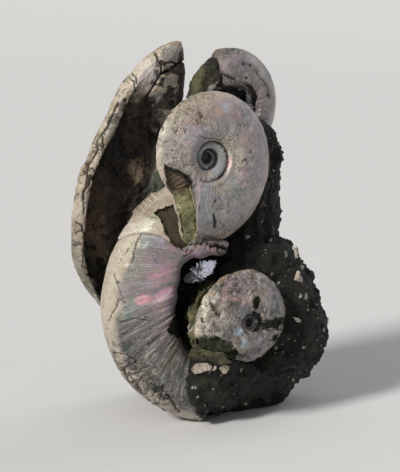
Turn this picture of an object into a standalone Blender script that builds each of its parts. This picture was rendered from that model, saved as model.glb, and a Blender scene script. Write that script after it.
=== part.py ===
"""Fossil ammonite plate.

Three small coiled shells, an open whorl of a large one and a hollow piece of
another, held in a lump of grey-green siltstone that stands on a flat sawn foot.
Metres, +Z up, and the show face looks along -Y.
"""

import math

import bmesh
import bpy
from mathutils import Euler, Vector, noise

# Lengths below are in millimetres, angles in degrees
MM = 0.001
GAP = 0.35
SMOOTH_BELOW = 40.0
ROCK_SMOOTH_BELOW = 34.0
CRUST_SMOOTH_BELOW = 17.0

# Middle of the foot's box, moved to the origin
ORIGIN = (1.3, 10.5, -0.9)

# Cross-section of a coiled whorl, as shares of its outer radius
WIDEST_AT = 0.46
SHOULDER = 0.82
VENTER_FALL = 2.1
VENTER_ROUND = 0.9
OUTER_STEPS = (0.24, 0.48, 0.70, 0.87, 0.965, 1.0)
WALL_STEP = 0.35
HUB_SINK = 0.9

# How fast the lean of a mouth dies away back along the coil, in shares per turn
LEAD_FADE = 4.6

# The broken patch begins this far out, and eases in and out over these shares of the radius
DENT_INNER = 0.45
DENT_INNER_EASE = 0.2
DENT_OUTER_EASE = 0.12

# Coiled shells: centre, turn about the upright, growth sense (+1 is anticlockwise).
# The mouth angle is that of the keel, and the lead how far the mouth's inner lip runs on.
# The dent is a broken patch on the front: turns before the mouth, from and to, and depth.
# The corner is where the mouth meets the keel and has broken off: turns it reaches back,
# share of the radius where it begins, and share of the radius lost at the keel.
UPPER = {
    "centre": (3.1, -18.0, 171.7),
    "turn": 31.0,
    "sense": -1,
    "mouth": 264.0,
    "radius": 56.3,
    "growth": 1.92,
    "seam": 0.25,
    "wall": 0.05,
    "half_thickness": 0.25,
    "turns": 2.3,
    "stations": 23,
    "lead": 31.0,
    "dent": (0.835, 0.99, 0.55),
    "corner": (0.065, 0.6, 0.10),
}
SMALL = {
    "centre": (28.3, -25.0, 69.7),
    "turn": 30.0,
    "sense": 1,
    "mouth": 196.0,
    "radius": 37.7,
    "growth": 1.62,
    "seam": 0.16,
    "wall": 0.05,
    "half_thickness": 0.27,
    "turns": 2.0,
    "stations": 21,
    "lead": 48.0,
    "dent": None,
    "corner": None,
}
BACK = {
    "centre": (21.9, 26.0, 197.7),
    "turn": 35.0,
    "sense": 1,
    "mouth": 112.0,
    "radius": 40.6,
    "growth": 1.75,
    "seam": 0.37,
    "wall": 0.06,
    "half_thickness": 0.24,
    "turns": 1.8,
    "stations": 20,
    "lead": 24.0,
    "dent": None,
    "corner": None,
}

# Sediment past each mouth: degrees from and to, steps, inner and outer radius as shares at
# the near and the far end, share of the whorl's thickness, height of its lumps
UPPER_CAST = (0.8, 15.0, 4, (0.56, 0.96), (0.56, 0.92), 0.80, 1.6)
SMALL_CAST = (1.2, 27.0, 4, (0.65, 0.95), (0.66, 0.82), 0.80, 2.0)
BACK_CAST = (1.0, 52.0, 6, (0.60, 0.93), (0.59, 0.78), 0.88, 2.5)
CAST_TAPER = 0.22
CAST_STOPS = 5
CAST_LUMPS_PER_MM = 0.16

# The open whorl at the lower left
LARGE_CENTRE = (18.6, 0.0, 70.3)
LARGE_TURN = 15.0
LARGE_REFERENCE = (183.0, 82.6)
LARGE_GROWTH = 1.715
LARGE_HALF_THICKNESS = 0.225
LARGE_YOUNG_END = 254.0
LARGE_MOUTH_END = 98.0
LARGE_STEP = 5.5
LARGE_NAVEL = (
    (90, 44.0), (100, 41.5), (113, 45.0), (134, 47.5), (150, 41.5), (163, 38.5), (198, 36.5), (268, 34.0),
)
LARGE_SECTION = (
    (0.00, 0.42),
    (0.03, 0.72),
    (0.12, 0.93),
    (0.29, 1.00),
    (0.46, 0.97),
    (0.63, 0.86),
    (0.79, 0.66),
    (0.91, 0.40),
    (0.975, 0.19),
)
LARGE_DORSUM = ((0.05, 0.14), (0.06, -0.14))
BROKEN_FROM = 131.0
BROKEN_TO = 124.0
BROKEN_DEPTH = 0.85
BROKEN_SPAN = (0.16, 0.90)

# The hollow piece at the left: left edge across and up, right edge across and up,
# cover of the hollow, scale of the thickness
PIECE_CENTRE = (-57.7, 14.0, 153.2)
PIECE_TURN = 18.0
PIECE_STATIONS = (
    (44.5, 88.0, 48.2, 87.2, 1.0, 0.40),
    (39.2, 86.6, 49.9, 81.5, 1.0, 0.55),
    (32.5, 83.2, 50.9, 73.8, 1.0, 0.70),
    (25.2, 78.2, 50.8, 64.2, 1.0, 0.82),
    (17.9, 71.7, 50.1, 55.2, 1.0, 0.92),
    (10.6, 64.6, 48.8, 45.6, 0.85, 1.0),
    (4.6, 55.8, 46.4, 35.3, 0.40, 1.0),
    (-0.5, 44.8, 43.6, 25.0, 0.05, 1.0),
    (-5.5, 34.8, 40.2, 14.7, 0.0, 1.0),
    (-10.8, 25.1, 36.8, 5.0, 0.0, 1.0),
    (-15.5, 14.7, 33.0, -5.3, 0.0, 1.0),
    (-19.9, 5.3, 29.2, -15.6, 0.0, 1.0),
    (-22.7, -6.8, 25.8, -26.0, 0.0, 1.0),
    (-24.9, -20.2, 22.0, -36.3, 0.0, 1.0),
    (-26.2, -33.7, 18.2, -46.1, 0.0, 1.0),
    (-26.0, -46.1, 14.0, -55.8, 0.0, 0.97),
    (-22.9, -57.4, 10.2, -65.5, 0.1, 0.90),
    (-17.9, -68.3, 6.8, -74.6, 0.4, 0.78),
    (-11.3, -78.0, 4.3, -83.1, 0.8, 0.60),
    (-5.1, -85.5, 2.6, -89.1, 1.0, 0.40),
)
PIECE_OUTSIDE = ((0.0, 0.0), (1.6, -4.5), (5.5, -9.5), (12.0, -13.5), (0.55, -15.5), (0.80, -14.5), (1.0, -12.0))
PIECE_INSIDE = ((1.0, -5.5), (0.80, -7.5), (0.55, -8.5), (13.5, -7.0), (9.0, -2.5), (7.6, 3.5), (7.4, 7.6))
PIECE_COVER = ((1.0, -2.0), (0.80, 2.5), (0.55, 5.5), (13.5, 7.5), (9.0, 8.2), (7.6, 8.2), (7.4, 7.9))
PIECE_LIP = ((4.2, 7.4), (1.3, 4.2))
PIECE_RIM_ZONE = 13.5

# Broken chunks that the rock is made of, by their corners
FRONT_RIGHT = (
    (0, -14, 52), (3, -6, 13), (18, 2, 8), (36, 10, 12), (55, 14, 12), (65, 4, 29), (77, 4, 43), (79, 4, 65),
    (67, -4, 88), (55, -2, 109), (41, -2, 117), (20, 0, 109), (85, 18, 58), (82, 22, 41), (77, 26, 26),
    (68, 30, 18), (70, 16, 92), (81, 18, 73), (60, 14, 114), (83, 50, 49), (76, 52, 24), (62, 58, 8),
    (64, 48, 98), (27, 58, 106), (3, 66, 63), (3, 66, 12),
)
COLUMN = (
    (50, 24, 182), (51, 20, 174), (48, 14, 144), (46, 8, 110), (42, 12, 187), (39, 4, 148), (37, -2, 112),
    (18, 4, 104), (14, 24, 184), (25, 30, 198), (47, 50, 175), (50, 54, 120), (52, 52, 88), (19, 50, 190),
    (0, 52, 168), (0, 60, 88),
)
BRIDGE = (
    (-33, 14, 136), (-31, 16, 148), (-24, 20, 171), (-15, 24, 183), (0, 26, 196), (19, 30, 201), (18, 10, 104),
    (-10, 10, 104), (-32, 10, 104), (-40, 46, 132), (-25, 48, 175), (8, 50, 202), (19, 62, 90), (-44, 54, 92),
)
BACKING = (
    (-54, 4, 77), (-49, 8, 112), (-44, 4, 43), (-35, 8, 16), (0, 4, 15), (17, 12, 75), (17, 10, 114),
    (-53, 46, 64), (-45, 52, 16), (0, 62, 4), (18, 62, 110), (-46, 50, 114),
)
FOOT = (
    (-42, 56, -4), (-34, 32, -4), (-23, 15, -4), (-13, 5, -4), (3, 4, -4), (11, 8, -4), (25, 21, -4),
    (53, 29, -4), (60, 50, -4), (54, 62, -4), (-36, 62, -4), (-43, 52, 24), (-36, 16, 24), (-8, 4, 24),
    (18, 3, 16), (36, 10, 14), (62, 18, 20), (71, 40, 26), (64, 60, 26), (-38, 62, 26),
)
FRONT_LOW = (
    (-8, -26, 51), (-8, -30, 33), (-7, -29, 18), (-2, -22, 7), (9, -9, 3), (24, 4, 6), (18, -20, 24), (14, -27, 44),
    (35, 6, 14), (42, -10, 32), (32, -18, 41), (4, -29, 50), (8, -24, 15), (46, 10, 15), (-7, 18, 5), (-7, 18, 40),
    (41, 20, 32), (37, 25, 7), (8, 10, 0),
)
SKIRT = (
    (-9, -38, 70), (-8, -38, 60), (-5, -34, 52), (-4, -36, 83), (2, -32, 93), (9, -26, 97), (-3, -12, 61), (4, -8, 79),
    (10, -4, 88), (1, -16, 44), (17, 6, 56), (14, -30, 52), (26, 8, 78),
)
CHUNKS = (FRONT_RIGHT, FRONT_LOW, SKIRT, COLUMN, BRIDGE, BACKING, FOOT)
ROCK_VOXEL = 2.4
ROCK_TRIANGLE_SHARE = 0.037
ROCK_ROUGHNESS = (("Lumps", 26.0, 7.0), ("Crags", 9.0, 3.2))
ROCK_MID_LEVEL = 0.55
SAW_LOW = (-120.0, -120.0, -60.0)
SAW_HIGH = (120.0, 120.0, ORIGIN[2])

# Bits of shell in the rock: middle, turn and lean, thickness, outline across and up.
# Each layer of the loft is the outline at a share of its size and of the thickness.
CHIP_LAYERS = ((0.9, 0.5), (1.0, 0.15), (0.95, -0.5))
CHIPS = {
    "shell_chip_a": ((0.8, -29.8, 40.4), (4, -8), 3.0, (
        (-6.4, -0.4), (-4.9, 2.5), (-1.9, 3.7), (3.6, 3.8), (7.0, 1.3), (6.6, -0.6), (1.0, -2.2), (-4.4, -3.6))),
    "shell_chip_b": ((8.9, -28.8, 40.4), (14, 0), 2.4, (
        (-1.4, -0.9), (0.6, 1.6), (1.4, 1.2), (1.0, -0.7), (-0.6, -1.4))),
    "shell_chip_c": ((15.4, -25.6, 39.4), (14, -10), 2.8, (
        (-3.7, 0.3), (-2.6, 1.9), (0.3, 2.6), (3.2, 1.8), (2.9, -0.4), (1.2, -2.9), (-1.1, -3.7))),
    "shell_chip_d": ((61.2, 2.0, 108.2), (40, 0), 2.2, (
        (-2.0, 3.4), (-0.4, 4.8), (1.6, 3.0), (2.0, -0.6), (0.8, -4.4), (-0.8, -2.2), (-0.4, 0.8))),
    "shell_chip_e": ((62.8, -1.6, 92.6), (48, 0), 2.6, (
        (-0.6, 4.6), (2.8, -1.4), (3.0, -4.4), (-0.4, -2.6), (-3.0, -1.2))),
    "shell_chip_f": ((62.4, 0.2, 64.6), (8, 0), 2.6, (
        (-2.8, 2.0), (0.4, 1.4), (3.0, -0.6), (2.6, -2.4), (-0.4, -2.0))),
    "shell_chip_g": ((83.4, 20.4, 58.8), (56, 0), 2.4, (
        (-1.6, -0.4), (0.4, 2.8), (1.6, 2.2), (0.4, -1.6), (-1.0, -3.0))),
}

# The white crystals in the large shell's navel
CRUST_MIDDLE = (-0.6, 0.0, 95.0)
CRUST_HALF_SIZE = (12.0, 4.0, 6.4)
CRUST_ROLL = 28.0
CRUST_WAVES = 4.3
CRUST_WAVE_HEIGHT = 0.22
CRUST_POINT = 0.10
CRUST_PIT = -0.05

COLOURS = {
    "rock_matrix": (0.055, 0.062, 0.048, 0.9),
    "large_ammonite": (0.42, 0.37, 0.34, 0.35),
    "upper_ammonite": (0.46, 0.44, 0.43, 0.35),
    "small_ammonite": (0.42, 0.37, 0.35, 0.4),
    "back_ammonite": (0.44, 0.41, 0.41, 0.4),
    "whorl_fragment": (0.36, 0.29, 0.22, 0.6),
    "upper_mouth_fill": (0.17, 0.17, 0.10, 0.85),
    "small_mouth_fill": (0.12, 0.12, 0.07, 0.85),
    "back_mouth_fill": (0.13, 0.15, 0.07, 0.85),
    "crystal_crust": (0.72, 0.73, 0.80, 0.25),
    "shell_chip": (0.62, 0.57, 0.48, 0.5),
}


def clear_scene():
    """Remove everything that the scene starts with."""
    for thing in list(bpy.data.objects):
        bpy.data.objects.remove(thing, do_unlink=True)


def new_collection(name):
    """Add a collection to the scene."""
    made = bpy.data.collections.new(name)
    bpy.context.scene.collection.children.link(made)
    return made


def material_for(name):
    """Plain material in the piece's own colour."""
    red, green, blue, roughness = COLOURS["shell_chip" if name.startswith("shell_chip") else name]
    made = bpy.data.materials.new(name)
    made.use_nodes = True
    shader = made.node_tree.nodes["Principled BSDF"]
    shader.inputs["Base Color"].default_value = (red, green, blue, 1.0)
    shader.inputs["Roughness"].default_value = roughness
    shader.inputs["Metallic"].default_value = 0.0
    made.diffuse_color = (red, green, blue, 1.0)
    return made


def placed(obj, centre, turn=0.0, lean=0.0, roll=0.0):
    """Stand an object upright with its local Z toward the viewer, then turn it."""
    obj.location = (Vector(centre) - Vector(ORIGIN)) * MM
    obj.rotation_euler = Euler((math.radians(90.0 + lean), math.radians(roll), math.radians(turn)), "XYZ")
    return obj


def mesh_object(name, points, faces, collection, smooth_below=SMOOTH_BELOW):
    """Mesh in millimetres to a smooth shaded object in metres, faces outward."""
    mesh = bpy.data.meshes.new(name)
    mesh.from_pydata([Vector(point) * MM for point in points], [], faces)
    build = bmesh.new()
    build.from_mesh(mesh)
    bmesh.ops.triangulate(build, faces=build.faces)
    bmesh.ops.recalc_face_normals(build, faces=build.faces)
    build.to_mesh(mesh)
    build.free()
    obj = bpy.data.objects.new(name, mesh)
    collection.objects.link(obj)
    mesh.materials.append(material_for(name))
    mesh.shade_smooth()
    mesh.set_sharp_from_angle(angle=math.radians(smooth_below))
    return obj


def smooth(value):
    """Ease from 0 to 1."""
    value = min(max(value, 0.0), 1.0)
    return value * value * (3.0 - 2.0 * value)


def between(table, at):
    """Read a table of (place, size) rows, easing from row to row."""
    if at <= table[0][0]:
        return table[0][1]
    for (low, size), (high, after) in zip(table, table[1:]):
        if at <= high:
            return size + (after - size) * smooth((at - low) / (high - low))
    return table[-1][1]


def flank(x, shell):
    """Half thickness at x of the outer radius, as a share of the widest."""
    if x >= WIDEST_AT:
        fall = ((x - WIDEST_AT) / (1.0 - WIDEST_AT)) ** VENTER_FALL
        return max(1.0 - fall, 0.0) ** VENTER_ROUND
    wall_top = shell["seam"] + shell["wall"]
    if x >= wall_top:
        return SHOULDER + (1.0 - SHOULDER) * smooth((x - wall_top) / (WIDEST_AT - wall_top))
    foot = flank(shell["seam"] * shell["growth"], shell) / shell["growth"]
    rise = math.sin(0.5 * math.pi * max(x - shell["seam"], 0.0) / shell["wall"])
    return foot + (SHOULDER - foot) * rise


def mouth_slide(shell, back_turns, x):
    """How far a point slides on along the coil, in turns, so that the mouth leans."""
    seam, lead = shell["seam"], shell["lead"] / 360.0
    if back_turns < 0.5:
        return lead * (1.0 - x) / (1.0 - seam) * smooth(1.0 - LEAD_FADE * back_turns)
    met = seam * shell["growth"]
    share = smooth((x - seam) / (met - seam)) * (1.0 - x / shell["growth"]) / (1.0 - seam)
    return lead * share * smooth(1.0 - LEAD_FADE * abs(back_turns - 1.0))


def dent_at(shell, back_turns, x):
    """Share of the half thickness that is broken away from the front."""
    if shell["dent"] is None:
        return 0.0
    begin, end, depth = shell["dent"]
    along = min(max((back_turns - begin) / (end - begin), 0.0), 1.0)
    across = smooth((x - DENT_INNER) / DENT_INNER_EASE) * smooth((1.0 - x) / DENT_OUTER_EASE)
    return depth * math.sin(math.pi * along) ** 0.5 * across


def corner_loss(shell, back_turns, x):
    """Share of the radius that is gone here, where the corner of the mouth has broken off."""
    if shell["corner"] is None:
        return 0.0
    turns, begin, depth = shell["corner"]
    return depth * smooth(1.0 - back_turns / turns) * smooth((x - begin) / (1.0 - begin))


def whorl_point(shell, back_turns, x, side):
    """Point of the coil, so many turns before its mouth. Side is +1 at the front."""
    radius = shell["radius"] * shell["growth"] ** (-back_turns)
    angle = math.radians(shell["mouth"] - shell["sense"] * 360.0 * back_turns)
    share = side * flank(x, shell)
    if side > 0.0:
        share -= dent_at(shell, back_turns, x)
    x *= 1.0 - corner_loss(shell, back_turns, x)
    return (x * radius * math.cos(angle), x * radius * math.sin(angle), share * shell["half_thickness"] * radius)


def coiled_shell(name, shell, collection):
    """Closed coil: a spiral strip of whorls on each face, joined at the keel and the mouth."""
    seam, growth, turn_steps = shell["seam"], shell["growth"], shell["stations"]
    met = seam * growth
    wall_top = seam + shell["wall"]
    inner = [seam, seam + WALL_STEP * shell["wall"], wall_top, 0.5 * (wall_top + met), met]
    across = inner + [met + (1.0 - met) * step for step in OUTER_STEPS]
    last_inner, keel = len(inner) - 1, len(across) - 1
    last = round(shell["turns"] * turn_steps)
    points, number = [], {}

    def index(station, column, side):
        if column == last_inner and station + turn_steps <= last:
            station, column = station + turn_steps, 0
        key = (station, column, 0 if column == keel else side)
        if key not in number:
            back_turns = (last - station) / turn_steps
            back_turns -= mouth_slide(shell, back_turns, across[column])
            number[key] = len(points)
            points.append(whorl_point(shell, back_turns, across[column], side))
        return number[key]

    faces = []
    for side in (1, -1):
        for station in range(last):
            columns = last_inner if station < last - turn_steps else keel
            for column in range(columns):
                faces.append([
                    index(station, column, side), index(station + 1, column, side),
                    index(station + 1, column + 1, side), index(station, column + 1, side),
                ])
        rim = [index(station, 0, side) for station in range(turn_steps + 1)]
        rim += [index(0, column, side) for column in range(last_inner - 1, 0, -1)]
        middle = Vector((0.0, 0.0, 0.0))
        for corner in rim:
            middle += Vector(points[corner])
        middle /= len(rim)
        points.append(tuple(middle * HUB_SINK))
        hub = len(points) - 1
        faces += [[hub, rim[at], rim[(at + 1) % len(rim)]] for at in range(len(rim))]
    mouth = [index(last, column, 1) for column in range(keel + 1)]
    mouth += [index(last, column, -1) for column in range(keel - 1, -1, -1)]
    before = last - turn_steps
    mouth += [index(before, column, -1) for column in range(last_inner + 1, keel + 1)]
    mouth += [index(before, column, 1) for column in range(keel - 1, last_inner, -1)]
    faces.append(mouth)
    obj = mesh_object(name, points, faces, collection)
    return placed(obj, shell["centre"], shell["turn"])


def lofted(rings):
    """Points and faces of a closed loft through rings of equal count, with flat ends."""
    points = [point for ring in rings for point in ring]
    count = len(rings[0])
    faces = []
    for at in range(len(rings) - 1):
        for corner in range(count):
            after = (corner + 1) % count
            faces.append([
                at * count + corner, at * count + after,
                (at + 1) * count + after, (at + 1) * count + corner,
            ])
    faces.append(list(range(count)))
    faces.append([len(points) - count + corner for corner in range(count)])
    return points, faces


def sediment_cast(name, shell, collection, cast):
    """Sediment that filled the whorl, standing on from the mouth for some degrees."""
    begin, end, steps, near, far, fullness, lump = cast
    rings = []
    for step in range(steps + 1):
        share = step / steps
        beyond = (begin + (end - begin) * share) / 360.0
        full = fullness * (1.0 - CAST_TAPER * share ** 3)
        low = near[0] + (far[0] - near[0]) * share
        high = near[1] + (far[1] - near[1]) * share
        stops = [low + (high - low) * stop / CAST_STOPS for stop in range(CAST_STOPS + 1)]
        ring = []
        for side in (1, -1):
            for x in stops if side > 0 else reversed(stops):
                back_turns = -beyond - mouth_slide(shell, 0.0, x)
                ring.append(Vector(whorl_point(shell, back_turns, x, side * full)))
        middle = sum(ring, Vector()) / len(ring)
        rings.append([
            point + (point - middle).normalized() * lump * share * noise.noise(point * CAST_LUMPS_PER_MM)
            for point in ring
        ])
    points, faces = lofted(rings)
    obj = mesh_object(name, points, faces, collection)
    return placed(obj, shell["centre"], shell["turn"])


def large_ring(angle):
    """One cross-section of the large shell's whorl."""
    outer = LARGE_REFERENCE[1] * LARGE_GROWTH ** ((LARGE_REFERENCE[0] - angle) / 360.0)
    inner = between(LARGE_NAVEL, angle)
    half = LARGE_HALF_THICKNESS * outer
    broken = smooth((BROKEN_FROM - angle) / (BROKEN_FROM - BROKEN_TO))
    low, high = BROKEN_SPAN
    ring = []
    for along, share in LARGE_SECTION:
        inside = min(max((along - low) / (high - low), 0.0), 1.0)
        sunk = broken * BROKEN_DEPTH * math.sin(math.pi * inside) ** 0.6
        ring.append((inner + along * (outer - inner), (share - sunk) * half))
    ring.append((outer, 0.0))
    ring += [(inner + along * (outer - inner), -share * half) for along, share in reversed(LARGE_SECTION)]
    ring += [(inner + along * (outer - inner), -share * half) for along, share in LARGE_DORSUM]
    turned = math.radians(angle)
    return [Vector((out * math.cos(turned), out * math.sin(turned), height)) for out, height in ring]


def large_shell(name, collection):
    """The open whorl, with its broken window near the mouth end."""
    count = round((LARGE_YOUNG_END - LARGE_MOUTH_END) / LARGE_STEP)
    step = (LARGE_YOUNG_END - LARGE_MOUTH_END) / count
    points, faces = lofted([large_ring(LARGE_YOUNG_END - step * at) for at in range(count + 1)])
    obj = mesh_object(name, points, faces, collection)
    return placed(obj, LARGE_CENTRE, LARGE_TURN)


def piece_ring(at):
    """One cross-section of the hollow piece, from its left edge to its right one."""
    left_across, left_up, right_across, right_up, cover, scale = PIECE_STATIONS[at]
    left = Vector((left_across, left_up))
    inward = Vector((right_across, right_up)) - left
    width = inward.length
    inward.normalize()

    def corner(reach, height):
        # A reach up to 1 is a share of the width, and one above it a length
        length = reach * width if 0.0 < reach <= 1.0 else reach * min(scale, 0.5 * width / PIECE_RIM_ZONE)
        return Vector((left.x + inward.x * length, left.y + inward.y * length, height * scale))

    ring = [corner(reach, height) for reach, height in PIECE_OUTSIDE]
    for (reach, low), (_, high) in zip(PIECE_INSIDE, PIECE_COVER):
        ring.append(corner(reach, low + (high - low) * cover))
    ring += [corner(reach, height) for reach, height in PIECE_LIP]
    return ring


def hollow_piece(name, collection):
    """The tall broken whorl, open toward the viewer, closed over at its top."""
    points, faces = lofted([piece_ring(at) for at in range(len(PIECE_STATIONS))])
    obj = mesh_object(name, points, faces, collection)
    return placed(obj, PIECE_CENTRE, PIECE_TURN)


def chip(name, collection):
    """A flat bit of broken shell."""
    middle, (turn, lean), thickness, outline = CHIPS[name]
    rings = [
        [Vector((across * size, up * size, height * thickness)) for across, up in outline]
        for size, height in CHIP_LAYERS
    ]
    points, faces = lofted(rings)
    return placed(mesh_object(name, points, faces, collection), middle, turn, lean)


def crystal_crust(name, collection):
    """One crust of blunt white crystals, thick in the middle and thin at its edge."""
    build = bmesh.new()
    bmesh.ops.create_icosphere(build, subdivisions=3, radius=1.0)
    for corner in build.verts:
        place = corner.co.normalized()
        point_up = 1.0 + CRUST_WAVE_HEIGHT * noise.noise(place * CRUST_WAVES)
        point_up += CRUST_POINT if corner.index % 3 == 0 else CRUST_PIT
        corner.co = Vector((place.x * CRUST_HALF_SIZE[0], place.y * CRUST_HALF_SIZE[2], place.z * CRUST_HALF_SIZE[1]))
        corner.co *= point_up
    mesh = bpy.data.meshes.new(name)
    build.to_mesh(mesh)
    build.free()
    points = [tuple(corner.co) for corner in mesh.vertices]
    faces = [list(face.vertices) for face in mesh.polygons]
    bpy.data.meshes.remove(mesh)
    obj = mesh_object(name, points, faces, collection, CRUST_SMOOTH_BELOW)
    return placed(obj, CRUST_MIDDLE, LARGE_TURN, 0.0, -CRUST_ROLL)


def chunk_mesh(chunks):
    """The chunks' hulls, left overlapping in one mesh."""
    points, faces = [], []
    for corners in chunks:
        build = bmesh.new()
        for corner in corners:
            build.verts.new(Vector(corner))
        made = bmesh.ops.convex_hull(build, input=build.verts)
        loose = [item for item in made["geom_interior"] if isinstance(item, bmesh.types.BMVert)]
        bmesh.ops.delete(build, geom=loose, context="VERTS")
        build.verts.index_update()
        first = len(points)
        points += [tuple(corner.co) for corner in build.verts]
        faces += [[first + corner.index for corner in face.verts] for face in build.faces]
        build.free()
    return points, faces


def cut_by(obj, cutter, label):
    """Take the cutter out of the object."""
    cut = obj.modifiers.new(label, "BOOLEAN")
    cut.operation = "DIFFERENCE"
    cut.solver = "MANIFOLD"
    cut.object = cutter


def grown_copy(obj, cutters):
    """A copy of a piece that is larger all round by the gap, to cut its neighbours."""
    copy = bpy.data.objects.new(obj.name + "_room", obj.data)
    cutters.objects.link(copy)
    copy.location = obj.location
    copy.rotation_euler = obj.rotation_euler
    for modifier in obj.modifiers:
        if modifier.type == "BOOLEAN":
            cut_by(copy, modifier.object, modifier.name)
    swell = copy.modifiers.new("Room", "DISPLACE")
    swell.strength = GAP * MM
    swell.mid_level = 0.0
    copy.hide_render = True
    copy.display_type = "WIRE"
    return copy


def rock(name, collection, saw, rooms):
    """The siltstone: chunks skinned as one, roughened, sawn flat, then cut for the shells."""
    points, faces = chunk_mesh(CHUNKS)
    obj = placed(mesh_object(name, points, faces, collection, ROCK_SMOOTH_BELOW), (0.0, 0.0, 0.0))
    obj.rotation_euler = (0.0, 0.0, 0.0)
    skin = obj.modifiers.new("Skin", "REMESH")
    skin.mode = "VOXEL"
    skin.voxel_size = ROCK_VOXEL * MM
    skin.use_smooth_shade = False
    for label, size, strength in ROCK_ROUGHNESS:
        texture = bpy.data.textures.new(label, "CLOUDS")
        texture.noise_scale = size * MM
        texture.noise_depth = 1
        roughen = obj.modifiers.new(label, "DISPLACE")
        roughen.texture = texture
        roughen.texture_coords = "LOCAL"
        roughen.strength = strength * MM
        roughen.mid_level = ROCK_MID_LEVEL
    thin = obj.modifiers.new("Thin", "DECIMATE")
    thin.ratio = ROCK_TRIANGLE_SHARE
    cut_by(obj, saw, "Sawn foot")
    for room in rooms:
        cut_by(obj, room, room.name)
    return obj


def plain_box(name, low, high, cutters):
    """A plain box cutter."""
    bpy.ops.mesh.primitive_cube_add(size=1.0)
    obj = bpy.context.active_object
    obj.name = name
    for holder in list(obj.users_collection):
        holder.objects.unlink(obj)
    cutters.objects.link(obj)
    obj.location = (0.5 * (Vector(low) + Vector(high)) - Vector(ORIGIN)) * MM
    obj.scale = (Vector(high) - Vector(low)) * MM
    obj.hide_render = True
    obj.display_type = "WIRE"
    return obj


def main():
    """Build the shells, then their fillings, then the rock around them."""
    clear_scene()
    pieces = new_collection("fossil_ammonite_plate")
    cutters = new_collection("cutters")
    upper = coiled_shell("upper_ammonite", UPPER, pieces)
    small = coiled_shell("small_ammonite", SMALL, pieces)
    back = coiled_shell("back_ammonite", BACK, pieces)
    large = large_shell("large_ammonite", pieces)
    piece = hollow_piece("whorl_fragment", pieces)
    upper_fill = sediment_cast("upper_mouth_fill", {**UPPER, "corner": None}, pieces, UPPER_CAST)
    small_fill = sediment_cast("small_mouth_fill", SMALL, pieces, SMALL_CAST)
    back_fill = sediment_cast("back_mouth_fill", BACK, pieces, BACK_CAST)
    crust = crystal_crust("crystal_crust", pieces)
    chips = [chip(name, pieces) for name in CHIPS]
    rooms = {}
    for obj in (upper, upper_fill, small, small_fill, back, back_fill):
        rooms[obj.name] = grown_copy(obj, cutters)
    for obj in (upper, upper_fill, small, small_fill):
        cut_by(large, rooms[obj.name], obj.name)
    saw = plain_box("saw_room", SAW_LOW, SAW_HIGH, cutters)
    cut_by(large, saw, "Sawn foot")
    rooms["large_ammonite"] = grown_copy(large, cutters)
    cut_by(piece, rooms["large_ammonite"], "Large shell")
    for obj in [piece, crust] + chips:
        rooms[obj.name] = grown_copy(obj, cutters)
    rock("rock_matrix", pieces, saw, list(rooms.values()))


main()
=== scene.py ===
"""Looks of the fossil ammonite plate.

Fine meshes and finishes for the pearly shells, the hollow whorl, the siltstone,
the hardened mud and the crystals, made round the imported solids. Shapes are worked
out in millimetres in the drawing's own frame and then moved to the row frame.
Marks seen from the front are placed by pixels of a 400 x 472 picture.
"""

import logging
import math
from dataclasses import dataclass
from enum import Enum

import bmesh
import bpy
import numpy as np
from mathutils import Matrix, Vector, noise


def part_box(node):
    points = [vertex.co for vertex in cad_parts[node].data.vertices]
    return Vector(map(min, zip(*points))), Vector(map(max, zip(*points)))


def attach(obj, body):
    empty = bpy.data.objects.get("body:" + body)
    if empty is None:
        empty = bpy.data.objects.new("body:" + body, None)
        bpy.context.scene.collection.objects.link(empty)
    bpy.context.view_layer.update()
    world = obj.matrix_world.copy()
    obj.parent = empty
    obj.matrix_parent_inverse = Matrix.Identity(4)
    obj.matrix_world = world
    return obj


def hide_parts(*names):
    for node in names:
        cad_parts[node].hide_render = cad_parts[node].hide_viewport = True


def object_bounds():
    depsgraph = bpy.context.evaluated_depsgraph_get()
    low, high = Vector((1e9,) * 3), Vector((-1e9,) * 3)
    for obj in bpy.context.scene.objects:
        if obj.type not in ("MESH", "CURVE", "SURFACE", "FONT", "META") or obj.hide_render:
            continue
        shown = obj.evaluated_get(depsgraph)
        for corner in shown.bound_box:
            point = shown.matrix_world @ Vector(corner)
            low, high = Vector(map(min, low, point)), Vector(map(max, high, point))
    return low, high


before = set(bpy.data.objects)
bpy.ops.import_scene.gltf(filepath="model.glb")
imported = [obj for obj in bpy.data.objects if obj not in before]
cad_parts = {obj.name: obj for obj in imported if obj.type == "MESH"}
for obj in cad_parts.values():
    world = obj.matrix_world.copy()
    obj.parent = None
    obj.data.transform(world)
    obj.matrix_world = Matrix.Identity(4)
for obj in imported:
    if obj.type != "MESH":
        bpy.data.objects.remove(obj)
CAD_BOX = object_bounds()
LOG = logging.getLogger("ammonite_plate")

# Millimetres of the drawing, and the point of it that lies at the row frame's origin
MM = 0.001
ORIGIN = np.array((1.3, 10.5, -0.9))
FLOOR_UP = ORIGIN[2]

# How straight a point has to look at the viewer to count as fully seen, and a length beyond all others
FRONT_EASE = 0.15
FAR = 1e9

# Large odd numbers that scatter a cell's place into noise
SCATTER = tuple(np.uint64(number) for number in (374761393, 668265263, 2246822519))
STIR = np.uint64(1274126177)

Array = np.ndarray
Colour = tuple[float, float, float]


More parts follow.
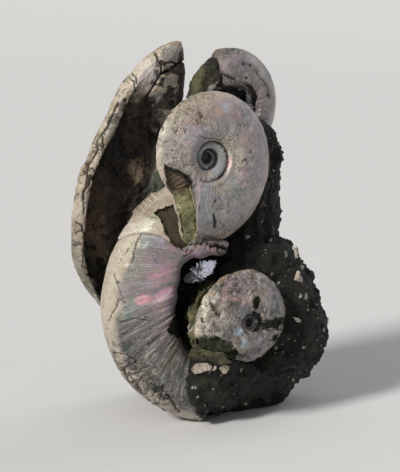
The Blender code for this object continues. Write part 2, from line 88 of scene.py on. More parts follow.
class Tint(Enum):
    """Colours of the fossil, linear red, green and blue."""

    CREAM = (0.50, 0.43, 0.33)
    BONE = (0.64, 0.58, 0.50)
    PEARL = (0.37, 0.345, 0.34)
    GREY = (0.25, 0.245, 0.235)
    LILAC = (0.36, 0.32, 0.41)
    PINK = (0.52, 0.355, 0.385)
    ROSE = (0.86, 0.46, 0.52)
    BLUE = (0.27, 0.33, 0.40)
    SKY = (0.34, 0.52, 0.66)
    TEAL = (0.28, 0.36, 0.35)
    SAGE = (0.26, 0.29, 0.21)
    TAN = (0.33, 0.245, 0.16)
    RUST = (0.28, 0.145, 0.06)
    OLIVE = (0.085, 0.082, 0.035)
    MOSS = (0.15, 0.15, 0.062)
    MUD = (0.25, 0.235, 0.115)
    BROWN = (0.105, 0.066, 0.042)
    UMBER = (0.040, 0.026, 0.018)
    SILT = (0.0095, 0.0098, 0.0075)
    BLACK = (0.007, 0.006, 0.005)


def plain(tint: Tint | Colour) -> Colour:
    """The red, green and blue of a named or a given colour."""
    return tint.value if isinstance(tint, Tint) else tint


def smooth(value: Array) -> Array:
    """Ease from 0 to 1."""
    value = np.clip(value, 0.0, 1.0)
    return value * value * (3.0 - 2.0 * value)


def ramp(value: Array, low: float, high: float) -> Array:
    """Ease from 0 at low to 1 at high, either way round."""
    return smooth((value - low) / (high - low))


def grain(points: Array, size: float, seed: int = 0) -> Array:
    """Smooth noise between -1 and 1.

    Args:
        points: places in millimetres, one a row.
        size: width of a lump in millimetres.
        seed: picks another pattern of the same kind.

    Returns:
        One value a point.
    """
    scaled = points / size + 57.3 * (seed + 1)
    cell = np.floor(scaled).astype(np.int64)
    part = scaled - cell
    part = part * part * (3.0 - 2.0 * part)
    total = np.zeros(len(points))
    for corner in np.ndindex(2, 2, 2):
        at = (cell + np.array(corner)).astype(np.uint64)
        mixed = at[:, 0] * SCATTER[0] + at[:, 1] * SCATTER[1] + at[:, 2] * SCATTER[2]
        mixed = (mixed ^ (mixed >> np.uint64(13))) * STIR
        mixed = (mixed ^ (mixed >> np.uint64(16))) & np.uint64(0xFFFFFF)
        weight = np.prod(np.where(np.array(corner) == 1, part, 1.0 - part), axis=1)
        total += weight * (mixed.astype(float) / 0x7FFFFF - 1.0)
    return total


def rough(points: Array, size: float, layers: int = 3, seed: int = 0) -> Array:
    """Noise with finer and fainter layers on top of each other.

    Args:
        points: places in millimetres, one a row.
        size: width of a lump in millimetres.
        layers: how many layers are added up.
        seed: picks another pattern of the same kind.

    Returns:
        One value a point.
    """
    total = np.zeros(len(points))
    share = 1.0
    for layer in range(layers):
        total += share * grain(points, size / 2.1 ** layer, seed + 7 * layer)
        share *= 0.5
    return total


def plates(points: Array, size: float, wobble: float = 0.25, seed: int = 0) -> tuple[Array, Array]:
    """Broken plates: how near the crack between two is, and a number for each plate.

    Args:
        points: places in millimetres.
        size: width of a plate in millimetres.
        wobble: how crooked the cracks are, as a share of the size.
        seed: picks another pattern.

    Returns:
        Distance to the nearest crack in millimetres, and a value from 0 to 1 that each plate keeps.
    """
    shift = [size * wobble * rough(points, size * 0.6, 2, seed + 3 * axis) for axis in range(3)]
    moved = (points + np.stack(shift, axis=1)) / size + 11.0 * seed
    gap, number = np.empty(len(points)), np.empty(len(points))
    for at, place in enumerate(moved):
        far, near = noise.voronoi(place)
        gap[at] = far[1] - far[0]
        number[at] = (near[0][0] * 12.9898 + near[0][1] * 78.233 + near[0][2] * 37.719) * 43.7585
    return gap * size * 0.5, number - np.floor(number)


@dataclass(frozen=True)
class PhotoView:
    """The camera, as it stood for the picture: sizes in the drawing's millimetres."""

    target: tuple[float, float, float] = (0.0, 0.0, 119.2)
    elevation: float = 10.0
    distance: float = 833.0
    lens: float = 100.0
    sensor: float = 36.0
    wide: int = 400
    high: int = 472

    def axes(self) -> tuple[Array, Array]:
        """Directions away from the camera and up its picture.

        Returns:
            The two directions, each of length 1.
        """
        lean = math.radians(self.elevation)
        away = np.array((0.0, math.cos(lean), -math.sin(lean)))
        return away, np.array((0.0, math.sin(lean), math.cos(lean)))

    def pixels(self, points: Array) -> Array:
        """Where points of the drawing fall in the picture, across and down.

        Args:
            points: places in millimetres, one a row.

        Returns:
            Pixels across and down, one pair a point.
        """
        away, upward = self.axes()
        offset = points - np.array(self.target)
        focal = self.lens / self.sensor * self.high
        depth = self.distance + offset @ away
        across = 0.5 * self.wide + focal * offset[:, 0] / depth
        return np.stack([across, 0.5 * self.high - focal * (offset @ upward) / depth], axis=1)

    def placed(self, across: Array, down: Array, deep: Array) -> Array:
        """Points of the drawing that fall on these pixels, at their depths along its Y.

        Args:
            across: pixels across the picture.
            down: pixels down the picture.
            deep: depths along the drawing's Y in millimetres.

        Returns:
            Places in the drawing's millimetres.
        """
        lean = math.radians(self.elevation)
        cos, sin = math.cos(lean), math.sin(lean)
        focal = self.lens / self.sensor * self.high
        above = 0.5 * self.high - down
        up = (above * (self.distance + deep * cos) - focal * deep * sin) / (focal * cos + above * sin)
        far = self.distance + deep * cos - up * sin
        return np.stack([(across - 0.5 * self.wide) * far / focal, deep, up + self.target[2]], axis=1)

    def make_camera(self) -> bpy.types.Object:
        """Add the camera and make it the scene's own.

        Returns:
            The camera.
        """
        away, _ = self.axes()
        place = (np.array(self.target) - away * self.distance - ORIGIN) * MM
        bpy.ops.object.camera_add(location=place, rotation=(math.radians(90.0 - self.elevation), 0.0, 0.0))
        camera = bpy.context.active_object
        camera.data.lens = self.lens
        camera.data.sensor_width = self.sensor
        camera.data.clip_start = 0.01
        camera.data.clip_end = 50.0
        bpy.context.scene.camera = camera
        return camera


VIEW = PhotoView()

# The shell chips' letters, and each one's own colour
CHIPS = dict(zip("abcdefg", (Tint.CREAM, Tint.BONE, Tint.CREAM, Tint.BONE, Tint.CREAM, Tint.BONE, Tint.BONE)))


def distance_to(pixels: Array, ends: Array) -> Array:
    """How far pixels lie from a line on the picture.

    Args:
        pixels: places on the picture, one a row.
        ends: the line's points, in order.

    Returns:
        One distance a pixel.
    """
    best = np.full(len(pixels), FAR)
    for start, stop in zip(ends, ends[1:]):
        run = stop - start
        along = np.clip((pixels - start) @ run / (run @ run), 0.0, 1.0)
        best = np.minimum(best, np.linalg.norm(pixels - start - along[:, None] * run, axis=1))
    return best


@dataclass(frozen=True)
class Crack:
    """A line on the picture: its points, and how wide and deep it is there."""

    points: tuple[tuple[float, float], ...]
    width: float = 0.55
    depth: float = 0.45
    dark: float = 1.0
    margin: float = 3.0

    def nearness(self, pixels: Array) -> Array:
        """1 on the line, falling to 0 at its width.

        Args:
            pixels: places on the picture, one a row.

        Returns:
            One value a pixel.
        """
        ends = np.array(self.points, float)
        best = np.full(len(pixels), FAR)
        low, high = ends.min(axis=0) - self.margin, ends.max(axis=0) + self.margin
        inside = np.all((pixels > low) & (pixels < high), axis=1)
        best[inside] = distance_to(pixels[inside], ends)
        return smooth(1.0 - best / self.width)


@dataclass(frozen=True)
class Patch:
    """A soft oval of colour on the picture, with a ragged edge."""

    tint: Tint | Colour
    across: float
    down: float
    wide: float
    high: float
    amount: float = 0.7
    turn: float = 0.0
    edge: float = 0.5

    def mask(self, pixels: Array, ragged: Array) -> Array:
        """How much of the patch's colour each point takes.

        Args:
            pixels: places on the picture, one a row.
            ragged: noise that makes the edge uneven.

        Returns:
            One amount a pixel.
        """
        turned = math.radians(self.turn)
        offset = pixels - np.array((self.across, self.down))
        along = offset[:, 0] * math.cos(turned) + offset[:, 1] * math.sin(turned)
        upward = offset[:, 1] * math.cos(turned) - offset[:, 0] * math.sin(turned)
        reach = np.sqrt((along / self.wide) ** 2 + (upward / self.high) ** 2) + 0.35 * ragged
        return self.amount * smooth((1.0 + 0.5 * self.edge - reach) / max(self.edge, 0.02))


@dataclass(frozen=True)
class Area:
    """A straight-sided area of the picture, by its corners."""

    corners: tuple[tuple[float, float], ...]

    def mask(self, pixels: Array, edge: float = 0.5) -> Array:
        """1 inside and 0 outside, easing over the edge in pixels.

        Args:
            pixels: places on the picture, one a row.
            edge: width of the eased edge in pixels.

        Returns:
            One value a pixel.
        """
        ends = np.array((*self.corners, self.corners[0]), float)
        inside = np.zeros(len(pixels), bool)
        for start, stop in zip(ends, ends[1:]):
            run = stop - start
            crosses = (start[1] > pixels[:, 1]) != (stop[1] > pixels[:, 1])
            rise = run[1] if abs(run[1]) > 1e-9 else 1e-9
            inside ^= crosses & (pixels[:, 0] < start[0] + run[0] * (pixels[:, 1] - start[1]) / rise)
        best = distance_to(pixels, ends)
        signed = np.where(inside, best, -best)
        return smooth(0.5 + signed / (2.0 * edge))


@dataclass(frozen=True)
class Hollow:
    """A sunken area of the picture: its depth, what shows in it (a broken-in floor, or black or umber as painted
    shadow), and ridges across it.
    """

    area: Area
    depth: float
    tint: Tint | Colour
    ridge: float = 0.0
    ridge_turn: float = 0.0
    ragged: float = 0.8
    lumps: float = 0.5
    pale: float = 0.0

    def amount(self, surface: "Surface", front: Array) -> Array:
        """How far each point is inside, with ragged edges."""
        shift = [self.ragged * surface.rough(2.4, 2, seed) for seed in (41, 43)]
        return self.area.mask(surface.pixels + np.stack(shift, axis=1), 0.45) * front

    def floor(self, surface: "Surface") -> tuple[Array, Array]:
        """Depth of the floor, and its colours.

        Args:
            surface: the mesh, whose pixels and places are used.

        Returns:
            The depth in millimetres and the colour, one a point.
        """
        wave = np.zeros(len(surface.pixels))
        if self.ridge > 0.0:
            turned = math.radians(self.ridge_turn)
            along = surface.pixels @ np.array((math.cos(turned), math.sin(turned)))
            along = along + 0.8 * surface.grain(5.0, 44)
            wave = np.sin(2.0 * np.pi * along / self.ridge)
        coarse = surface.rough(4.0, 3, 45)
        colours = coat(self.tint, len(wave))
        colours *= (1.0 + 0.55 * self.lumps * wave + 0.45 * coarse)[:, None]
        return self.depth - 0.9 * self.lumps * wave - self.lumps * coarse, np.clip(colours, 0.004, 1.0)


@dataclass(frozen=True)
class Stand:
    """Where a flat-drawn piece stands: local Z toward the viewer, then turned about the upright."""

    centre: tuple[float, float, float]
    turn: float

    def axes(self) -> tuple[Array, Array]:
        """Directions across the piece and toward the viewer.

        Returns:
            The two directions, each of length 1.
        """
        turned = math.radians(self.turn)
        across = np.array((math.cos(turned), math.sin(turned), 0.0))
        return across, np.array((math.sin(turned), -math.cos(turned), 0.0))

    def placed(self, local: Array) -> Array:
        """Move local points to the drawing.

        Args:
            local: places in the piece's own frame.

        Returns:
            Places in the drawing's millimetres.
        """
        across, toward = self.axes()
        upward = np.array((0.0, 0.0, 1.0))
        return np.array(self.centre) + local[:, :1] * across + local[:, 1:2] * upward + local[:, 2:3] * toward


def select_only(*objects: bpy.types.Object) -> None:
    """Make these the only selected objects, the first one active.

    Args:
        objects: the meshes.
    """
    for other in list(bpy.context.selected_objects):
        other.select_set(False)
    for obj in objects:
        obj.select_set(True)
    bpy.context.view_layer.objects.active = objects[0]


def new_grid(name: str, along: int, across: int) -> tuple[bpy.types.Object, Array, Array]:
    """Add a flat grid to be shaped.

    Args:
        name: the object's name.
        along: number of faces along its first side.
        across: number of faces along its second side.

    Returns:
        The object, and for each vertex its step along and across.
    """
    select_only(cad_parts["rock_matrix"])
    bpy.ops.mesh.primitive_grid_add(x_subdivisions=along, y_subdivisions=across, size=1.0)
    obj = bpy.context.active_object
    obj.name = name
    flat = read_points(obj)
    first = np.rint((flat[:, 0] + 0.5) * along).astype(int)
    second = np.rint((flat[:, 1] + 0.5) * across).astype(int)
    return obj, first, second


def read_points(obj: bpy.types.Object) -> Array:
    """A mesh's vertices in its own units, one a row.

    Args:
        obj: the mesh.

    Returns:
        One place a vertex.
    """
    flat = np.empty(len(obj.data.vertices) * 3, np.float32)
    obj.data.vertices.foreach_get("co", flat)
    return flat.reshape(-1, 3).astype(float)


def keep_own(obj: bpy.types.Object, **values: Array) -> None:
    """Store numbers on a mesh's vertices, to be read after it is merged.

    Args:
        obj: the mesh.
        values: the numbers, by the name to keep them under.
    """
    for name, numbers in values.items():
        layer = obj.data.attributes.new(name, "FLOAT", "POINT")
        layer.data.foreach_set("value", np.asarray(numbers, np.float32))


def put_points(obj: bpy.types.Object, design: Array) -> None:
    """Place a mesh's vertices, from the drawing's millimetres.

    Args:
        obj: the mesh.
        design: places in the drawing's millimetres.
    """
    row = (design - ORIGIN) * MM
    obj.data.vertices.foreach_set("co", row.astype(np.float32).ravel())
    obj.data.update()


def joined(objects: list[bpy.types.Object], merge: float = 2e-6) -> bpy.types.Object:
    """Join meshes, merge what meets, close the holes and face it outward.

    Args:
        objects: the meshes.
        merge: vertices closer than these metres become one.

    Returns:
        The one closed mesh.
    """
    select_only(*objects)
    if len(objects) > 1:
        bpy.ops.object.join()
    obj = bpy.context.active_object
    bpy.ops.object.mode_set(mode="EDIT")
    bpy.ops.mesh.select_all(action="SELECT")
    bpy.ops.mesh.remove_doubles(threshold=merge)
    bpy.ops.mesh.fill_holes(sides=0)
    bpy.ops.mesh.select_all(action="SELECT")
    bpy.ops.mesh.normals_make_consistent(inside=False)
    bpy.ops.object.mode_set(mode="OBJECT")
    return obj


def sawn_off(obj: bpy.types.Object) -> None:
    """Cut a mesh level with the foot, and close the cut.

    Args:
        obj: the mesh.
    """
    select_only(obj)
    bpy.ops.object.mode_set(mode="EDIT")
    bpy.ops.mesh.select_all(action="SELECT")
    bpy.ops.mesh.bisect(plane_co=(0.0, 0.0, 0.0), plane_no=(0.0, 0.0, 1.0), use_fill=True, clear_inner=True)
    bpy.ops.object.mode_set(mode="OBJECT")


class Surface:
    """A closed mesh while it is shaped and painted, point by point."""

    def __init__(self, obj: bpy.types.Object) -> None:
        """Read the mesh's places and normals, in the drawing's millimetres."""
        self.obj = obj
        self.refresh()

    def refresh(self) -> None:
        """Read places, normals, picture positions and which points face the viewer."""
        mesh = self.obj.data
        self.places = read_points(self.obj) / MM + ORIGIN
        flat = np.empty(len(mesh.vertices) * 3, np.float32)
        mesh.vertex_normals.foreach_get("vector", flat)
        self.normals = flat.reshape(-1, 3).astype(float)
        self.pixels = VIEW.pixels(self.places)
        away, _ = VIEW.axes()
        self.facing = -(self.normals @ away)

    def front(self) -> Array:
        """1 for the points that look at the viewer, easing to 0 for those that look away."""
        return smooth(self.facing / FRONT_EASE)

    def grain(self, size: float, seed: int = 0) -> Array:
        """Smooth noise at the points."""
        return grain(self.places, size, seed)

    def rough(self, size: float, layers: int = 3, seed: int = 0) -> Array:
        """Layered noise at the points."""
        return rough(self.places, size, layers, seed)

    def plates(self, size: float, wobble: float, seed: int) -> tuple[Array, Array]:
        """Distance to the nearest crack between plates, and each plate's number."""
        return plates(self.places, size, wobble, seed)

    def reach_from(self, centre: tuple[float, float], size: tuple[float, float]) -> Array:
        """How far the points are from a place on the picture, in shares of an oval's half sizes."""
        return np.linalg.norm((self.pixels - centre) / size, axis=1)

    def own(self, name: str) -> Array:
        """Numbers that keep_own stored.

        Args:
            name: the name that they were kept under.

        Returns:
            One number a vertex.
        """
        values = np.empty(len(self.obj.data.vertices), np.float32)
        self.obj.data.attributes[name].data.foreach_get("value", values)
        return values.astype(float)

    def push(self, height: Array) -> None:
        """Move each point out along its normal by a height in millimetres."""
        self.move(self.normals * height[:, None])

    def move(self, by: Array) -> None:
        """Move each point by millimetres, and read the mesh again."""
        put_points(self.obj, self.places + by)
        self.refresh()

    def keep_inside(self) -> None:
        """Hold every point inside the solid model's box and above the floor."""
        low = np.array(CAD_BOX[0]) / MM + ORIGIN
        high = np.array(CAD_BOX[1]) / MM + ORIGIN
        put_points(self.obj, np.clip(self.places, low + 0.02, high - 0.02))
        self.refresh()

    def set_colour(self, colours: Array) -> None:
        """Store a colour a vertex, for the material.

        Args:
            colours: one colour a vertex.
        """
        layer = self.obj.data.color_attributes.new("tint", "FLOAT_COLOR", "POINT")
        whole = np.concatenate([np.clip(colours, 0.0, 1.0), np.ones((len(colours), 1))], axis=1)
        layer.data.foreach_set("color", whole.astype(np.float32).ravel())

    def set_values(self, **values: Array | float) -> None:
        """Store numbers a vertex, for the material; a single number goes to all.

        Args:
            values: the numbers by the name that the material reads.
        """
        for name, numbers in values.items():
            old = self.obj.data.attributes.get(name)
            if old is not None:
                self.obj.data.attributes.remove(old)
            keep_own(self.obj, **{name: np.full(len(self.places), numbers)})

    def set_coil(self, along: Array, across: Array) -> None:
        """Store where each vertex lies along and across the coil, for the striae.

        Args:
            along: place along the growth lines.
            across: place across the whorl.
        """
        layer = self.obj.data.attributes.new("coil", "FLOAT_VECTOR", "POINT")
        whole = np.stack([along, across, np.zeros(len(along))], axis=1)
        layer.data.foreach_set("vector", whole.astype(np.float32).ravel())

    def finished(self, name: str, material: bpy.types.Material, angle: float = 50.0) -> bpy.types.Object:
        """Hold the mesh inside the box and make it the piece that stands for the solid of that name."""
        self.keep_inside()
        return finish_piece(self.obj, name, material, angle)

    def forget(self, *names: str) -> None:
        """Remove working numbers that no material reads."""
        for name in names:
            self.obj.data.attributes.remove(self.obj.data.attributes[name])


def blended(base: Array, tint: Tint | Colour, amount: Array) -> Array:
    """Mix a colour into others by an amount a point.

    Args:
        base: the colours below, one a point.
        tint: the colour that is laid over them.
        amount: how much of it each point takes.

    Returns:
        The mixed colours.
    """
    colour = np.array(plain(tint))
    amount = np.clip(amount, 0.0, 1.0)[:, None]
    return base * (1.0 - amount) + colour * amount


def coat(tint: Tint | Colour, count: int) -> Array:
    """The same colour for so many points."""
    return np.tile(np.array(plain(tint)), (count, 1))


def layered(base: Array, *coats: tuple[Tint | Colour, Array]) -> Array:
    """Lay colours over others, one after the other.

    Args:
        base: the colours below, one a point.
        coats: each colour that is laid over them, with its amount a point.

    Returns:
        The mixed colours.
    """
    for tint, amount in coats:
        base = blended(base, tint, amount)
    return base


class Signal:
    """One value or colour of a shader, with the usual arithmetic."""

    def __init__(self, bench: "Bench", socket: bpy.types.NodeSocket) -> None:
        """Wrap an output socket of the bench's node tree."""
        self.bench = bench
        self.socket = socket

    def __add__(self, other: "Signal | float") -> "Signal":
        """Add."""
        return self.bench.math("ADD", self, other)

    __radd__ = __add__

    def __mul__(self, other: "Signal | float") -> "Signal":
        """Multiply."""
        return self.bench.math("MULTIPLY", self, other)

    __rmul__ = __mul__

    def __sub__(self, other: "Signal | float") -> "Signal":
        """Take away."""
        return self.bench.math("SUBTRACT", self, other)

    def __rsub__(self, other: "Signal | float") -> "Signal":
        """Take this from a number."""
        return self.bench.math("SUBTRACT", other, self)

    def eased(self, low: float, high: float) -> "Signal":
        """0 below low, 1 above high, easing between; either way round.

        Args:
            low: the value that becomes 0.
            high: the value that becomes 1.

        Returns:
            The eased value.
        """
        settings = {"interpolation_type": "SMOOTHSTEP"}
        flipped = low > high
        values = {"Value": self, "From Min": min(low, high), "From Max": max(low, high)}
        values.update({"To Min": float(flipped), "To Max": float(not flipped)})
        return self.bench.node("ShaderNodeMapRange", settings, values)


class Bench:
    """The node tree of one finish, round a Principled shader."""

    def __init__(self, name: str) -> None:
        """Start an empty material with its shader.

        Args:
            name: the name to give it.
        """
        self.material = bpy.data.materials.new(name)
        self.material.use_nodes = True
        self.tree = self.material.node_tree
        self.shader = self.tree.nodes["Principled BSDF"]
        self.here = self.node("ShaderNodeTexCoord", {}, {}, "Object")

    def node(
        self, kind: str, settings: dict[str, object], values: dict[str | int, object], output: str | int = 0,
    ) -> Signal:
        """Add a node.

        Args:
            kind: the node's type.
            settings: its properties, set first; "stops" are a ramp's places and colours.
            values: its sockets' numbers, colours or links.
            output: the socket to read.

        Returns:
            The chosen output.
        """
        made = self.tree.nodes.new(kind)
        for key, value in settings.items():
            if key == "stops":
                self.set_stops(made.color_ramp, value)
            else:
                setattr(made, key, value)
        for key, value in values.items():
            if isinstance(value, Signal):
                self.tree.links.new(value.socket, made.inputs[key])
            else:
                made.inputs[key].default_value = value
        return Signal(self, made.outputs[output])

    @staticmethod
    def set_stops(color_ramp: bpy.types.ColorRamp, stops: list[tuple[float, Colour]]) -> None:
        """Give a ramp its stops.

        Args:
            color_ramp: the ramp node's colours.
            stops: each stop as its place and its colour.
        """
        while len(color_ramp.elements) < len(stops):
            color_ramp.elements.new(0.5)
        for element, (place, colour) in zip(color_ramp.elements, stops):
            element.position = place
            element.color = (*colour, 1.0)

    def math(self, operation: str, first: Signal | float, second: Signal | float) -> Signal:
        """One Math node."""
        return self.node("ShaderNodeMath", {"operation": operation}, {0: first, 1: second})

    def stretched(self, vector: Signal, scale: tuple[float, float, float]) -> Signal:
        """Scale a vector along each axis."""
        return self.node("ShaderNodeVectorMath", {"operation": "MULTIPLY"}, {0: vector, 1: scale})

    def noise(self, size: float, detail: float = 3.0, roughness: float = 0.55, vector: Signal | None = None) -> Signal:
        """Noise with lumps of a size in millimetres, or of one unit of a given vector over size.

        Args:
            size: width of a lump in millimetres, or in units of the vector.
            detail: how many finer layers.
            roughness: how strong the finer layers are.
            vector: coordinates to use instead of the object's own.

        Returns:
            A value about 0.5.
        """
        scale = 1.0 / size if vector else 1.0 / (size * MM)
        values = {"Vector": vector or self.here, "Scale": scale, "Detail": detail, "Roughness": roughness}
        return self.node("ShaderNodeTexNoise", {}, values)

    def bent(self, size: float, by: float) -> Signal:
        """Object coordinates pushed about by coarse noise, both in millimetres.

        Args:
            size: width of the lumps in millimetres.
            by: how far to push, in millimetres.

        Returns:
            The bent coordinates.
        """
        colour = self.node(
            "ShaderNodeTexNoise", {}, {"Vector": self.here, "Scale": 1.0 / (size * MM), "Detail": 2.0}, "Color",
        )
        shift = self.node(
            "ShaderNodeVectorMath", {"operation": "MULTIPLY_ADD"}, {0: colour, 1: (by * MM,) * 3, 2: self.here},
        )
        return shift

    def cells(self, size: float, feature: str = "DISTANCE_TO_EDGE", vector: Signal | None = None) -> Signal:
        """Cell pattern: distances in shares of a cell of a size in millimetres."""
        values = {"Vector": vector or self.here, "Scale": 1.0 / (size * MM)}
        return self.node("ShaderNodeTexVoronoi", {"feature": feature}, values)

    def own(self, name: str, output: str = "Fac") -> Signal:
        """A number or colour stored on the mesh."""
        return self.node("ShaderNodeAttribute", {"attribute_name": name}, {}, output)

    def mix(
        self, amount: Signal | float, first: Signal | Colour, second: Signal | Colour, blend: str = "MIX",
    ) -> Signal:
        """Mix two colours.

        Args:
            amount: how much of the second one to take.
            first: the first one.
            second: the second one.
            blend: how the second one is laid over the first.

        Returns:
            The mixed colour.
        """
        whole = [value if isinstance(value, Signal) else (*value, 1.0) for value in (first, second)]
        settings = {"data_type": "RGBA", "blend_type": blend, "clamp_factor": True}
        return self.node("ShaderNodeMix", settings, {0: amount, 6: whole[0], 7: whole[1]}, 2)

    def layered(self, base: Signal | Colour, *coats: tuple[Signal, Colour]) -> Signal:
        """Lay colours over another, one after the other.

        Args:
            base: the colour below.
            coats: each amount, with the colour that is laid over by it.

        Returns:
            The mixed colour.
        """
        for amount, colour in coats:
            base = self.mix(amount, base, colour)
        return base

    def highest(self, *signals: Signal) -> Signal:
        """The largest of some values.

        Args:
            signals: the values to compare.

        Returns:
            The largest value.
        """
        best = signals[0]
        for other in signals[1:]:
            best = self.math("MAXIMUM", best, other)
        return best

    def ramped(self, value: Signal, stops: list[tuple[float, Colour]]) -> Signal:
        """Colours along a value."""
        return self.node("ShaderNodeValToRGB", {"stops": stops}, {"Fac": value})

    def wire(self, **sockets: Signal | float | Colour) -> None:
        """Set the shader's sockets; words in a name are joined by an underscore.

        Args:
            sockets: a value, a colour or a link for each socket.
        """
        for name, value in sockets.items():
            socket = self.shader.inputs[name.replace("_", " ")]
            if isinstance(value, Signal):
                self.tree.links.new(value.socket, socket)
            elif isinstance(value, tuple):
                socket.default_value = (*value, 1.0)
            else:
                socket.default_value = value

    def raise_by(self, height: Signal, strength: float, depth: float) -> None:
        """Bump from a height, with depth in millimetres."""
        values = {"Height": height, "Strength": strength, "Distance": depth * MM}
        self.wire(Normal=self.node("ShaderNodeBump", {}, values))


@dataclass(frozen=True)
class Nacre:
    """Pearly shell: colour washes, growth lines, ribs with painted shade in their grooves, crackle, pin pricks and a
    soft gloss.
    """

    name: str
    lines: float = 150.0
    thread: float = 0.8
    ribs: float = 56.0
    crackle: float = 6.0
    speck: float = 2.4
    rough: float = 0.34

    def washed(self, bench: Bench, coil: Signal, threads: Signal) -> Signal:
        """The painted colour with its pearly bands, threads and patina.

        Args:
            bench: the node tree to build in.
            coil: place along and across the coil.
            threads: the fine growth threads.

        Returns:
            The colour.
        """
        sheen, patina, lined = bench.own("sheen"), bench.own("patina"), bench.own("lined") * self.thread
        bands = bench.noise(1.0, 2.0, 0.5, bench.stretched(coil, (self.lines * 0.22, 2.2, 1.0)))
        washes = bench.noise(13.0, 3.0, 0.6)
        mottle, speckle = bench.noise(2.6, 4.0, 0.65), bench.noise(1.0, 4.0, 0.7)
        late_patches = bench.noise(6.5, 7.0, 0.72)
        pearly = bench.ramped(bands * 0.6 + washes * 0.55, [
            (0.42, (0.40, 0.54, 0.51)),
            (0.50, (0.52, 0.54, 0.49)),
            (0.57, (0.68, 0.47, 0.50)),
            (0.64, (0.50, 0.45, 0.60)),
            (0.72, (0.42, 0.54, 0.61)),
        ])
        base = bench.mix(sheen * 0.75, bench.own("tint", "Color"), pearly, "OVERLAY")
        return bench.layered(
            base,
            (threads.eased(0.52, 0.70) * lined * 0.55, (0.74, 0.70, 0.68)),
            (threads.eased(0.50, 0.34) * lined * 0.65, (0.075, 0.062, 0.058)),
            (mottle.eased(0.52, 0.66) * (patina * 0.45 + 0.15), (0.19, 0.145, 0.11)),
            (mottle.eased(0.47, 0.33) * (patina * 0.50 + 0.02), (0.66, 0.62, 0.58)),
            (speckle.eased(0.54, 0.62) * (patina * 0.70 + 0.05), (0.075, 0.055, 0.042)),
            (speckle.eased(0.46, 0.37) * (patina * 0.50), (0.72, 0.67, 0.61)),
            (late_patches.eased(0.585, 0.64) * patina, (0.035, 0.026, 0.021)),
        )

    def make(self) -> bpy.types.Material:
        """Build the material.

        Returns:
            The material.
        """
        bench = Bench(self.name)
        coil = bench.own("coil", "Vector")
        wear, craze, ribbed = bench.own("wear"), bench.own("craze"), bench.own("ribbed")
        dull = bench.own("dull")
        threads = bench.noise(1.0, 2.0, 0.6, bench.stretched(coil, (self.lines, 3.0, 1.0)))
        base = self.washed(bench, coil, threads)
        turn = bench.node("ShaderNodeSeparateXYZ", {}, {"Vector": coil}) * (2.0 * math.pi * self.ribs)
        groove = bench.node("ShaderNodeMath", {"operation": "SINE"}, {0: turn}).eased(-0.35, -0.95) * ribbed
        # Painted shade in the rib grooves.
        base = bench.mix(groove * 0.72, base, (0.035, 0.036, 0.034))
        crooked = bench.bent(4.0, 1.2)
        gate = bench.noise(6.0, 2.0).eased(0.47, 0.56)
        split = bench.cells(self.crackle, vector=crooked).eased(0.040, 0.010) * craze * gate
        hair = bench.cells(self.crackle * 0.42, vector=crooked).eased(0.050, 0.010) * craze * gate * 0.45
        prick = bench.cells(self.speck, "F1", crooked).eased(0.17, 0.08) * bench.noise(5.0).eased(0.54, 0.64)
        # The darkening holds cracks and pits, and the painted shade that the meshes set.
        dark = bench.highest(split, hair, prick * 0.75, wear)
        base = bench.mix(dark * 0.9, base, (0.022, 0.017, 0.013))
        mottle = bench.noise(1.6, 4.0, 0.65)
        bench.wire(
            Base_Color=base,
            Roughness=mottle * 0.20 + dark * 0.35 + dull * 0.45 + (self.rough - 0.08),
            Coat_Weight=(1.0 - dull) * 0.14,
            Coat_Roughness=0.25,
            Thin_Film_Thickness=380.0,
            Thin_Film_IOR=1.45,
        )
        lined = bench.own("lined") * self.thread
        height = threads * lined * 0.6 + mottle * 0.50 - dark * 1.0 - groove * 0.6 + bench.noise(0.6) * 0.35
        bench.raise_by(height, 0.8, 0.42)
        return bench.material


@dataclass(frozen=True)
class Siltstone:
    """Dark grainy rock: grey-green grains, pale shell crumbs, pits and damp mud in places."""

    name: str = "siltstone"

    def make(self) -> bpy.types.Material:
        """Build the material.

        Returns:
            The material.
        """
        bench = Bench(self.name)
        lumps, grains = bench.noise(9.0, 4.0, 0.6), bench.noise(1.3, 5.0, 0.7)
        dust = bench.noise(0.45, 2.0, 0.6)
        base = bench.own("tint", "Color")
        base = bench.layered(
            base,
            (lumps.eased(0.52, 0.66) * 0.55, (0.009, 0.009, 0.007)),
            (grains.eased(0.50, 0.68) * 0.40, (0.048, 0.047, 0.036)),
            (grains.eased(0.47, 0.34) * 0.80, (0.005, 0.005, 0.004)),
            (dust.eased(0.60, 0.72) * 0.4, (0.12, 0.115, 0.09)),
        )
        crooked = bench.bent(1.6, 2.4)
        crumbs = bench.cells(3.9, "F1", crooked).eased(0.20, 0.12)
        crumbs = crumbs * bench.noise(14.0, 2.0).eased(0.50, 0.60)
        sand = bench.cells(1.7, "F1", crooked).eased(0.20, 0.12) * bench.noise(6.0, 2.0).eased(0.52, 0.64)
        base = bench.layered(
            base,
            (crumbs, (0.50, 0.48, 0.42)),
            (sand * 0.40, (0.26, 0.25, 0.21)),
        )
        wear, shell = bench.own("wear"), bench.own("shell")
        base = bench.layered(
            base,
            (wear * 0.8, (0.004, 0.004, 0.003)),
            (shell * (0.70 + grains * 0.4), (0.66, 0.63, 0.57)),
        )
        bench.wire(Base_Color=base, Roughness=grains * 0.40 + 0.42, Specular_IOR_Level=0.35)
        height = lumps * 1.2 + grains * 1.2 + dust * 0.4 + crumbs * 0.5 + sand * 0.25
        bench.raise_by(height, 1.0, 1.3)
        return bench.material


